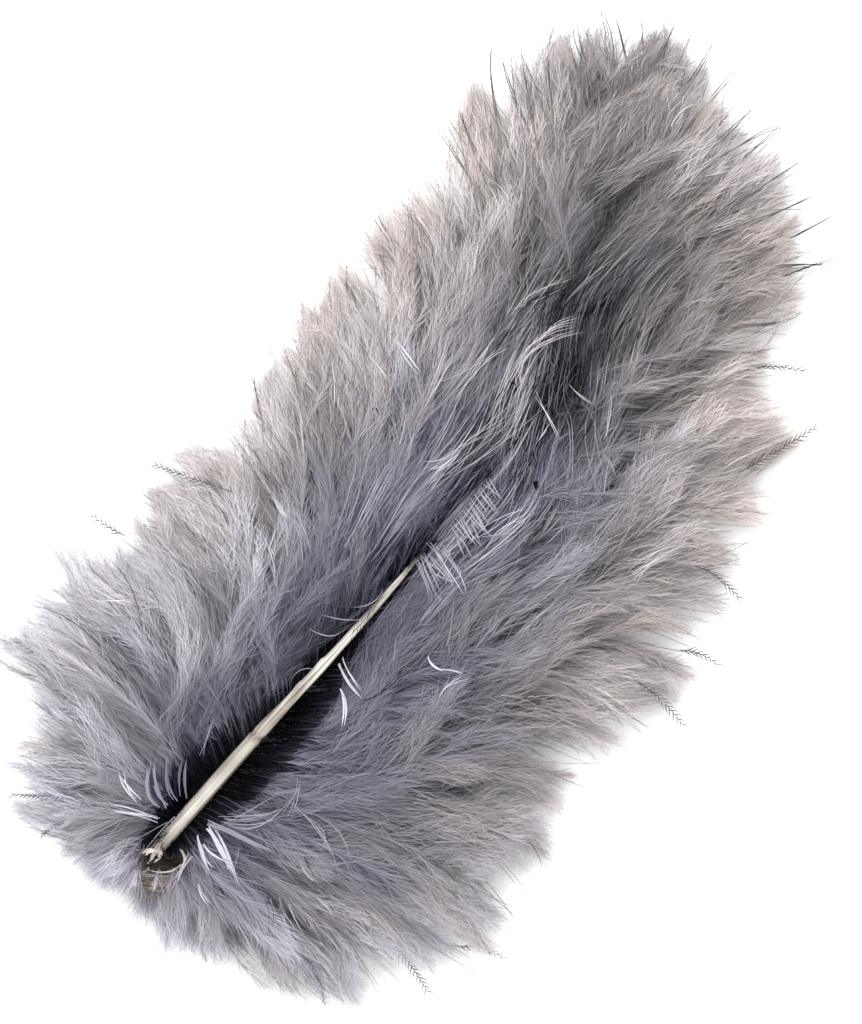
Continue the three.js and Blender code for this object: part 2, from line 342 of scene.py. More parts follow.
def trench_at(points):
    """1 in the bare trench beside the quill and 0 outside it, at points N x ... x 3."""
    y, offset = points[..., 1], beside_shaft(points)
    left, right = np.interp(y, TRENCH_Y, TRENCH_LEFT), np.interp(y, TRENCH_Y, TRENCH_RIGHT)
    inside = 1 - smoothstep(0.85, 1.15, np.abs(offset) / np.where(offset < 0, left, right))
    return inside * smoothstep(*TRENCH_BEGINS, y) * (1 - smoothstep(*TRENCH_ENDS, y))


def painted_shade_at(points):
    """The painted shade that the partings and the trench put on the down at points N x ... x 3, and painted
    light where it is below 0.
    """
    dark = np.zeros(points.shape[:-1])
    for x, y, length, width, direction, depth in PAINTED_LIGHT_AND_SHADE:
        turn = math.radians(direction + FEATHER_TURN)
        offset = (points[..., :2] - from_view(x, y)) * PIXELS_PER_MM
        forward = offset[..., 0] * math.cos(turn) + offset[..., 1] * math.sin(turn)
        sideways = offset[..., 1] * math.cos(turn) - offset[..., 0] * math.sin(turn)
        dark += depth * np.exp(-np.abs(forward / length) ** 3 - np.abs(sideways / width) ** 3)
    # In the trench beside the quill the painted shade makes the down nearly black
    return mix(np.clip(dark, -0.45, 0.97), 0.97, trench_at(points))


def middle_at(points):
    """From 0 to 1 along the middle of the covered part, where single threads stand out more."""
    return np.exp(-((beside_shaft(points) / 10) ** 2)) * smoothstep(-16, -6, points[..., 1])


FLOW_PLACES = np.array([from_view(x, y) for x, y, _ in FLOW])
FLOW_ANGLES = np.radians([angle + FEATHER_TURN for _, _, angle in FLOW])


def flow_at(places):
    """The direction that the down's surface runs in, at places N x 2."""
    away = np.linalg.norm(places[:, None] - FLOW_PLACES, axis=-1)
    weight = np.exp(-((away / FLOW_REACH) ** 2)) + 1e-3 / (1 + away**2)
    return np.arctan2(weight @ np.sin(FLOW_ANGLES), weight @ np.cos(FLOW_ANGLES))


def headings(angles):
    return np.stack([np.cos(angles), np.sin(angles)], -1)


def traced(starts, lengths, turns, steps=6):
    """Places along the flow from the starts, steps + 1 x N x 2, with a turn for each line."""
    line = [starts]
    for _ in range(steps):
        line.append(line[-1] + headings(flow_at(line[-1]) + turns) * (lengths / steps)[:, None])
    return np.array(line)


def covers_quill(lines):
    """True for threads, N x K x 3, that lie on the part of the quill that shows."""
    y = lines[..., 1]
    middle = quill_at(y)
    near = np.abs(lines[..., 0] - middle[..., 0]) < np.interp(y, QUILL_Y, QUILL_RADIUS) + 0.25
    above = lines[..., 2] > middle[..., 2] - 0.6
    return (near & above & (y < QUILL_SHOWN_TO) & (y > -55.5)).any(-1)


class Barbs:
    """The barbs of one level of down on one side, gathered into locks.

    A barb's curve lies between its own and its lock's, and comes closest to the lock's at the
    tip. FLUFF is the length of its barbules, which grow shorter from TAPER_FROM of the way along
    it, down to TAPER_TO of that length. They have BENDS points each, and WIDENING makes up for
    fewer points.
    """

    FLUFF = 6.6
    TAPER_FROM, TAPER_TO = 0.5, 0.08
    STEM_POINTS = 9
    BENDS = 2
    WIDENING = 1.25

    def __init__(self, level, rows, side, rng):
        locks, number = level["locks"], level["barbs"]
        lock_share = (np.arange(locks) + rng.uniform(0.05, 0.95, locks)) / locks
        lock_layer = rng.uniform(*level["layers"], locks)
        lock_reach = rng.uniform(*level["reach"], locks)
        values = rows_at(rows, lock_share)
        lock_reach = lock_reach * mix(1.0, 0.94, smoothstep(0, 20, values[:, 0]))
        values[:, 4] += rng.normal(0, 8, locks)
        lock_curves = full_curves(values, side, lock_layer, lock_reach)
        lock_curves[:, 2:, :2] += rng.normal(0, 1.7, (locks, 2, 2))

        lock = np.arange(number) % locks
        offset = rng.normal(0, 1, number)
        height = rng.uniform(-1, 1, number)
        values = rows_at(rows, np.clip(lock_share[lock] + offset * 0.6 / locks, 0, 1))
        layer = np.clip(lock_layer[lock] + 0.06 * height, 0, 1)
        own = full_curves(values, side, layer, lock_reach[lock])
        gathered = np.array([0, 0.4, 0.66, 0.8])[None, :, None]
        reach = lock_reach[lock] * (1 - 0.1 * np.abs(offset)) + rng.normal(0.02, 0.035, number)
        curves = shortened(mix(own, lock_curves[lock], gathered), np.minimum(reach, 1.09))
        curves += rng.normal(0, 1, curves.shape) * np.array([0.15, 0.8, 1.2, 1.1])[None, :, None]
        curves[:, 1:, 2] += height[:, None] * np.array([1.0, 1.4, 1.1]) + np.array([0, 0, level["perk"]])

        self.side, self.curves, self.reach = side, curves, reach
        self.layer, self.root_y, self.leave = lock_layer[lock], values[:, 0], values[:, 1]
        # Barbs that lie higher in their lock are brighter and lower ones darker: painted light and shade
        self.shade = 0.5 + rng.normal(0, 0.07, locks)[lock] + 0.1 * height + rng.normal(0, 0.05, number)
        self.warmth = rng.normal(0, 0.12, locks)[lock]
        full_length = np.linalg.norm(values[:, 2:4] - shaft_at(values[:, 0])[:, :2], axis=1)
        self.bare = self.bare_share(full_length * reach)
        self.cross_over(rng)

    def picked(self, index):
        """Some of the barbs, by number."""
        chosen = object.__new__(type(self))
        for name, value in vars(self).items():
            setattr(chosen, name, value[index] if isinstance(value, np.ndarray) else value)
        return chosen

    def cross_over(self, rng):
        """Where the shaft is hidden, high barbs start on its upper side and cross over it. Where
        it shows, low barbs start under it.
        """
        shown_part = 1 - smoothstep(*CROSSING_RANGE, self.root_y)
        amount = (1 - shown_part) * smoothstep(0.35, 0.9, self.layer)
        direction = shaft_direction_at(self.root_y)
        across = direction[:, [1, 0]] * np.array([1, -1]) * self.side
        step = amount * rng.uniform(-0.8, 2.8, len(amount))
        lift = amount * rng.uniform(0.5, 4.5, len(amount)) - 1.2 * shown_part * (1 - self.layer)
        for point, share in ((0, 1.0), (1, 0.8)):
            self.curves[:, point, :2] += across * (step * share)[:, None]
            self.curves[:, point, 2] += lift * share

    def bare_share(self, length):
        """The share of each barb that lies in the bare trench beside the quill."""
        trench = np.interp(self.root_y, TRENCH_Y, TRENCH_LEFT if self.side > 0 else TRENCH_RIGHT)
        trench = trench * mix(1.0, 0.4, smoothstep(95, 140, self.leave))
        sine = np.maximum(np.sin(np.radians(self.leave)), 0.5)
        share = trench / (3 * BARB_STIFFNESS * length * sine)
        return share * smoothstep(0.3, 0.6, self.layer) + 0.01

    def tone_at(self, share):
        """The tone at shares N x M, with painted shade that darkens it at the shaft and in low layers, and
        pale at the outline.
        """
        place = share * self.reach[:, None]
        rim = smoothstep(0.55, 1.0, place)
        layer = self.layer[:, None]
        # Painted shade: root darkens the tone near the shaft, and depth darkens barbs in low layers where
        # the barbs above shade them
        root = mix(0.45, 1.0, smoothstep(0, 0.2, place + 0.12 * layer))
        depth = mix(mix(0.62, 0.95, smoothstep(0.0, 0.8, layer)), 1.0, rim)
        return (0.5 + 0.14 * place + 0.3 * rim) * root * depth


class Tufts(Barbs):
    """Short tufts of barbs that lie over one another like shingles and make the surface."""

    FLUFF = 4.6
    TAPER_FROM, TAPER_TO = 0.62, 0.22
    STEM_POINTS = 6
    BENDS = 3
    WIDENING = 1.0
    # At a barb's four control points: the height over the down below, and the share that it has
    # there of its tuft's own rise
    HEIGHTS = np.array([-1.4, 1.6, 3.0, 2.4])
    RISE_SHARES = np.array([0.2, 0.6, 1.0, 1.0])

    def __init__(self, roots, surface, rng):
        turns = np.radians(rng.normal(0, TUFT_TURN, len(roots)))
        lengths = rng.uniform(*TUFT_LENGTH, len(roots))
        inside = (surface.depth_at(traced(roots, lengths, turns)) > 0.4).mean(0)
        kept = inside > 0.4
        roots, turns, lengths = roots[kept], turns[kept], (lengths * np.minimum(inside + 0.08, 1))[kept]
        line = traced(roots, lengths, turns)
        tuft = np.repeat(np.arange(len(roots)), TUFT_BARBS)
        number = len(tuft)
        sideways = rng.normal(0, 1, number)
        ahead = rng.uniform(-1, 1, number)
        height = rng.uniform(-1, 1, number)
        curl = np.radians(rng.normal(0, 10, len(roots)))

        start = flow_at(line[0]) + turns
        end = flow_at(line[-1]) + turns + curl
        root_way, tip_way = headings(start)[tuft], headings(end)[tuft]
        root_across, tip_across = headings(start + np.pi / 2)[tuft], headings(end + np.pi / 2)[tuft]
        first = line[0][tuft] + root_across * (1.5 * sideways)[:, None] + root_way * (2.2 * ahead)[:, None]
        shorter = 1.2 * ahead - 1.3 * np.abs(sideways)
        last = line[-1][tuft] + tip_across * (0.65 * sideways)[:, None] + tip_way * shorter[:, None]
        last += rng.normal(0, 0.45, last.shape)
        arm = np.linalg.norm(last - first, axis=1)[:, None] / 3
        flat = np.stack([first, first + root_way * arm, last - tip_way * arm, last], 1)
        flat[:, 1:3] += rng.normal(0, 0.35, (number, 2, 2))
        rise = rng.normal(0, 0.7, len(roots))[tuft, None] * self.RISE_SHARES
        level = surface.at(flat) + self.HEIGHTS + rise + 0.5 * height[:, None]
        self.curves = np.concatenate([flat, np.maximum(level, 1.0)[..., None]], -1)
        self.reach, self.layer, self.root_y = np.ones(number), np.full(number, 0.9), first[:, 1]
        self.bare = np.full(number, 0.01)
        # Barbs that lie higher in their tuft are brighter and lower ones darker: painted light and shade
        self.shade = 0.5 + rng.normal(0, 0.05, len(roots))[tuft] + 0.04 * height
        self.shade += rng.normal(0, 0.035, number)
        self.warmth = rng.normal(0, 0.14, len(roots))[tuft]
        self.place_tones = np.stack([self.tone_on(surface, flat[:, k]) for k in (0, 3)], -1)

    @staticmethod
    def tone_on(surface, places):
        rim = np.exp(-surface.depth_at(places) / 11)
        return 0.48 + 0.17 * smoothstep(3, 18, np.abs(beside_shaft(places))) + 0.3 * rim

    def tone_at(self, share):
        """The tone at shares N x M, with painted shade that darkens it at the tuft's root, where the tufts
        over it shade it.
        """
        tone = mix(self.place_tones[:, :1], self.place_tones[:, 1:], share)
        root = mix(0.78, 0.62, middle_at(self.curves[:, 0]))[:, None]
        return tone * mix(root, 1.0, smoothstep(0.0, 0.5, share)) + 0.02 * smoothstep(0.7, 1.0, share)


def warmth_at(points):
    """From 0, cool, low on the feather and inside, to 1, warm, towards the tip and the outline."""
    outward = np.abs(beside_shaft(points))
    low_part = mix(0.4, 1.0, smoothstep(-36, -10, points[..., 1]))
    return 0.03 + 0.65 * smoothstep(0, 50, points[..., 1]) + 0.7 * low_part * smoothstep(10, 30, outward)


class Threads:
    """Collects vertices, faces and map coordinates of one joined mesh of threads.

    The map's first coordinate is the tone, from the root of the down, darkened by painted shade, to
    its pale edge. The second has a band for each step from cool to warm, and in a band the thread's
    brightness, which also carries painted light and shade.
    """

    def __init__(self):
        self.points, self.faces, self.maps, self.count = [], [], [], 0

    def add(self, points, face_lists, maps):
        """points N x 3, face lists with numbers into them, maps N x 2."""
        self.points.append(points.reshape(-1, 3))
        self.maps.append(maps.reshape(-1, 2))
        self.faces += [faces.reshape(-1, faces.shape[-1]) + self.count for faces in face_lists]
        self.count += len(self.points[-1])

    @staticmethod
    def row_of(points, warmth, shade, rng):
        """The map's second coordinate: the band is picked at random around the warmth."""
        value = (warmth_at(points) + warmth) * (BANDS - 1) + rng.uniform(-0.5, 0.5, len(points))
        band = np.clip(np.round(value), 0, BANDS - 1)
        return (band + mix(0.06, 0.9, np.clip(shade, 0, 1))) / BANDS

    def ribbons(self, lines, width, tone, shade, facing, rng, warmth=0.0, lens=False):
        """Ribbons along lines N x K x 3 that taper to a point. tone is N x 2, at root and tip."""
        number, steps = lines.shape[:2]
        share = np.arange(steps) / (steps - 1)
        profile = np.sin(np.pi * np.clip(share, 0.12, 0.95)) if lens else 1 - 0.75 * share**1.5
        tangent = unit(np.gradient(lines, axis=1))[:, :-1]
        across = unit(np.cross(tangent, facing[:, None]))
        half = across * (width[:, None] * profile[:-1] / 2)[..., None]
        points = np.concatenate([lines[:, :-1] + half, lines[:, :-1] - half, lines[:, -1:]], 1)

        start = (2 * steps - 1) * np.arange(number)[:, None, None]
        ring = np.arange(steps - 2)[:, None]
        quads = start + ring + np.array([0, 1, steps, steps - 1])
        ends = start + np.array([steps - 2, 2 * steps - 2, 2 * steps - 3])

        column = np.clip(mix(tone[:, :1], tone[:, 1:], share), 0.004, 0.96) + 0.024 * share
        row = np.repeat(self.row_of(lines[:, -1], warmth, shade, rng)[:, None], steps, 1)
        maps = np.stack([
            np.hstack([column[:, :-1], column]),
            np.hstack([row[:, :-1], row[:, :-1] + 0.007, row[:, -1:] + 0.003]),
        ], -1)
        self.add(points, [quads, ends] if steps > 2 else [ends], maps)

    def tubes(self, lines, radius, tone, shade, rng, warmth=0.0, sides=3):
        """Thin tubes along lines N x K x 3, with radius and tone N x K."""
        number, rings = lines.shape[:2]
        tangent = unit(np.gradient(lines, axis=1))
        across = unit(np.cross(tangent, [0.01, 0.02, 1]))
        above = np.cross(across, tangent)
        turn = 2 * np.pi * np.arange(sides) / sides
        ring = across[:, :, None] * np.cos(turn)[:, None] + above[:, :, None] * np.sin(turn)[:, None]
        points = lines[:, :, None] + ring * radius[:, :, None, None]

        start = (np.arange(number) * rings * sides)[:, None, None]
        step = (np.arange(rings - 1) * sides)[:, None]
        side = np.arange(sides)
        corner = start + step + side
        beside = start + step + (side + 1) % sides
        faces = np.stack([corner, beside, beside + sides, corner + sides], -1)

        column = np.clip(tone, 0.004, 0.95)[:, :, None] + 0.006 * side + 0.002 * np.arange(rings)[:, None]
        row = self.row_of(lines[:, -1], warmth, shade, rng)[:, None, None] + 0.006 * (side % 2)
        self.add(points, [faces], np.stack([column, np.broadcast_to(row, column.shape)], -1))

    def mesh(self, name, material, slot="down"):
        points = np.vstack(self.points) - CENTRE
        points[:, 2] = np.maximum(points[:, 2], GROUND)
        sizes = np.concatenate([np.full(len(faces), faces.shape[1]) for faces in self.faces])
        corners = np.concatenate([faces.ravel() for faces in self.faces]).astype(np.int32)
        starts = (np.cumsum(sizes) - sizes).astype(np.int32)
        mesh = bpy.data.meshes.new(name)
        mesh.vertices.add(len(points))
        mesh.vertices.foreach_set("co", (points * MM).astype(np.float32).ravel())
        mesh.loops.add(len(corners))
        mesh.loops.foreach_set("vertex_index", corners)
        mesh.polygons.add(len(sizes))
        mesh.polygons.foreach_set("loop_start", starts)
        mesh.update(calc_edges=True)
        layer = mesh.uv_layers.new(name=MAP_NAME)
        layer.data.foreach_set("uv", np.vstack(self.maps)[corners].astype(np.float32).ravel())
        mesh.materials.append(material)
        print(f"{name}: {int((sizes - 2).sum())} triangles")
        return shown(name, mesh)


def shown(name, mesh):
    """Puts a mesh into the scene as a piece of the feather."""
    piece = bpy.data.objects.new(name, mesh)
    bpy.context.scene.collection.objects.link(piece)
    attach(piece, "root")
    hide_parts("feather")
    return piece


class Surface:
    """The down's height over the floor and its distance from the outline, in 1 mm squares."""

    SIZE = np.array([100, 160])

    def __init__(self, height=0):
        self.height = np.zeros(self.SIZE) + height
        self.depth = None

    def cover(self, points):
        points = points.reshape(-1, 3)
        np.maximum.at(self.height, self.squares(points[:, :2]), points[:, 2])

    def settle(self):
        """Evens out the heights and measures the distances once every barb has been laid."""
        padded = np.pad(self.height, 2)
        columns, rows = self.SIZE
        around = [padded[i:i + columns, j:j + rows] for i in range(5) for j in range(5)]
        self.height = np.mean(around, 0)
        covered = np.mean([part > 0 for part in around], 0) > 0.45
        inside, outside = np.argwhere(covered), np.argwhere(~covered)
        self.depth = np.zeros_like(self.height)
        near = [np.linalg.norm(outside - square, axis=1).min() for square in inside]
        self.depth[tuple(inside.T)] = near

    def squares(self, places):
        """The columns and rows of places N x ... x 2, kept inside the grid."""
        squares = np.round(places).astype(int) + self.SIZE // 2
        return tuple(np.moveaxis(np.clip(squares, 0, self.SIZE - 1), -1, 0))

    def at(self, places):
        """Heights at places N x ... x 2."""
        return self.height[self.squares(places)]

    def depth_at(self, places):
        """Distances from the outline at places N x ... x 2, 0 outside it."""
        return self.depth[self.squares(places)]


# Levels of down from the floor up: the layers that they fill, their locks and barbs on each
# side, the barbules on each barb, how far the locks reach, and how much their tips stand up
LEVELS = {
    "under": dict(layers=(0.0, 0.3), locks=58, barbs=260, barbules=200, reach=(0.92, 1.07), perk=0.0),
    "middle": dict(layers=(0.25, 0.62), locks=58, barbs=300, barbules=270, reach=(0.8, 1.03), perk=0.3),
    "crown": dict(layers=(0.5, 0.84), locks=44, barbs=190, barbules=100, reach=(0.45, 0.92), perk=0.3),
}
TRENCH_LEVEL = dict(layers=(0.0, 0.2), locks=60, barbs=190, barbules=75, reach=(0.18, 0.34), perk=0.0)
TRENCH_ROWS = 12
TIP_LEVEL = dict(layers=(0.1, 0.9), locks=40, barbs=190, barbules=130, reach=(0.8, 1.02), perk=0.5)
BASE_LEVEL = dict(layers=(0.1, 0.6), locks=16, barbs=80, barbules=90, reach=(0.76, 1.03), perk=0.2)


def add_stems(threads, barbs, rng):
    share = even_shares(barbs.curves, barbs.STEM_POINTS)
    lines, _ = along(barbs.curves, share)
    towards_tip = smoothstep(10, 45, barbs.root_y)
    end = mix(0.014, 0.03, towards_tip)[:, None]
    tone = barbs.tone_at(share) * mix(0.9, 0.55, towards_tip[:, None] * smoothstep(0.7, 1.0, share))
    # Painted shade: stems in the trench beside the quill are darkened towards black
    tone = tone * (1 - trench_at(lines))
    threads.tubes(lines, mix(0.055, end, share), tone, barbs.shade - 0.03, rng, barbs.warmth)


def barbule_lines(barbs, share, rng):
    """Lines of barbules that leave the barbs at the given shares, N x M x K x 3."""
    points, tangent = along(barbs.curves, share)
    side = np.where(np.arange(share.shape[1]) % 2, 1.0, -1.0)
    roll = rng.normal(0, 0.7, share.shape) + rng.normal(0, 0.35, len(share))[:, None]
    across = unit(np.cross(tangent, UP))
    above = np.cross(across, tangent)
    sideways = across * (side * np.cos(roll))[..., None] + above * np.sin(roll)[..., None]
    outer = smoothstep(0.55, 1.0, share * np.clip(barbs.reach, 0.6, 1)[:, None])
    lean = np.radians(rng.normal(mix(18, 27, outer), 8))
    bend = np.radians(rng.normal(9, 11, share.shape))
    begun = smoothstep(0, 0.2, share - barbs.bare[:, None])
    grown = mix(mix(0.4, 0.9, smoothstep(-20, -4, barbs.root_y))[:, None], 1.0, begun)
    taper = mix(1.0, barbs.TAPER_TO, smoothstep(barbs.TAPER_FROM, 1.0, share))
    length = barbs.FLUFF * grown * taper * rng.uniform(0.55, 1.15, share.shape)
    out = tangent * np.cos(lean)[..., None] + sideways * np.sin(lean)[..., None]
    on = tangent * np.cos(lean - bend)[..., None] + sideways * np.sin(lean - bend)[..., None]
    on = unit(on + rng.normal(0, 0.07, on.shape))
    half = (0.5 * length)[..., None]
    middle = points + out * half
    end = middle + on * half
    return np.stack([points, middle, end] if barbs.BENDS == 3 else [points, end], 2)


def add_barbules(threads, barbs, rows, rng):
    number = len(barbs.curves)
    whisker = smoothstep(5, 40, barbs.root_y) * 0.14
    last = 1.0 - whisker * rng.random(number)
    spread = (np.arange(rows) + rng.random((number, rows))) / rows
    share = mix(barbs.bare[:, None], last[:, None], spread)
    lines = barbule_lines(barbs, share, rng)
    root, tip = lines[:, :, 0], lines[:, :, -1]
    # dark is the painted shade of the partings and the trench, or painted light where below 0; root_dark
    # paints barbule roots in the trench near black
    dark = painted_shade_at(tip)
    root_dark = mix(dark, 1.0, trench_at(root))
    tone = barbs.tone_at(share) + rng.normal(0, 0.025, share.shape)
    tones = np.stack([tone * (1 - root_dark), (tone + 0.03) * (1 - dark)], -1)
    shade = barbs.shade[:, None] + rng.normal(0, 0.06, share.shape) * (1 + 1.5 * middle_at(tip))
    width = rng.uniform(0.045, 0.085, share.shape) * barbs.WIDENING
    facing = facing_up(rng, 0.7, *share.shape)
    kept = (rng.random(share.shape) > (dark - 0.3) * barbs.layer[:, None]) & ~covers_quill(lines)
    kept &= (trench_at(root) + trench_at(tip)) * barbs.layer[:, None] < 0.5
    warmth = np.repeat(barbs.warmth, rows)[kept.ravel()]
    threads.ribbons(lines[kept], width[kept], tones[kept], shade[kept], facing[kept], rng, warmth)


def add_strands(threads, barbs, number, rng):
    """Longer smooth threads that lie on the locks."""
    steps = np.linspace(0, 1, 6)
    picked = barbs.picked(rng.integers(0, len(barbs.curves), number))
    first = np.maximum(picked.bare, rng.uniform(0, 0.75, number))
    last = np.minimum(first + rng.uniform(0.2, 0.42, number), 1.03)
    share = mix(first[:, None], last[:, None], steps)
    lines, tangent = along(picked.curves, share)
    across = unit(np.cross(tangent, UP))
    sway = rng.normal(0, 0.6, number)[:, None] + rng.normal(0, 1.1, number)[:, None] * steps**1.5
    lines = lines + across * sway[..., None]
    lines[..., 2] += rng.uniform(0.1, 0.9, number)[:, None] * mix(0.4, 1.0, steps)
    # The tone is lowered by the painted shade of the partings and the trench
    dark = painted_shade_at(lines[:, -2])
    tone = picked.tone_at(share)[:, [0, -1]] * (1 - dark)[:, None]
    shade = picked.shade + rng.normal(0.04, 0.12, number) * (1 + 2 * middle_at(lines[:, -2]))
    width = rng.uniform(0.06, 0.13, number)
    facing = facing_up(rng, 0.4, number)
    kept = ~covers_quill(lines) & (trench_at(lines).max(-1) < 0.5)
    threads.ribbons(
        lines[kept], width[kept], tone[kept], shade[kept], facing[kept], rng, picked.warmth[kept],
    )


def down_piece(name, level, rows, side, seed, material, surface):
    rng = np.random.default_rng(seed)
    barbs = Barbs(level, rows, side, rng)
    threads = Threads()
    add_stems(threads, barbs, rng)
    add_barbules(threads, barbs, level["barbules"], rng)
    threads.mesh(name, material)
    surface.cover(along(barbs.curves, even_shares(barbs.curves, 60))[0])


def tuft_piece(name, low, high, strands, seed, material, surface, top):
    """Tufts whose roots lie between two places along Y."""
    rng = np.random.default_rng(seed)
    x, y = np.meshgrid(np.arange(-42, 46, TUFT_SPACING), np.arange(low, high, TUFT_SPACING))
    roots = np.stack([x.ravel(), y.ravel()], -1) + rng.uniform(-0.5, 0.5, (x.size, 2)) * TUFT_SPACING
    roots = roots[(surface.depth_at(roots) > 1.0) & (trench_at(roots) < 0.5)]
    tufts = Tufts(roots, surface, rng)
    threads = Threads()
    add_stems(threads, tufts, rng)
    add_barbules(threads, tufts, TUFT_BARBULES, rng)
    add_strands(threads, tufts, strands, rng)
    threads.mesh(name, material)
    top.cover(along(tufts.curves, even_shares(tufts.curves, 30))[0])


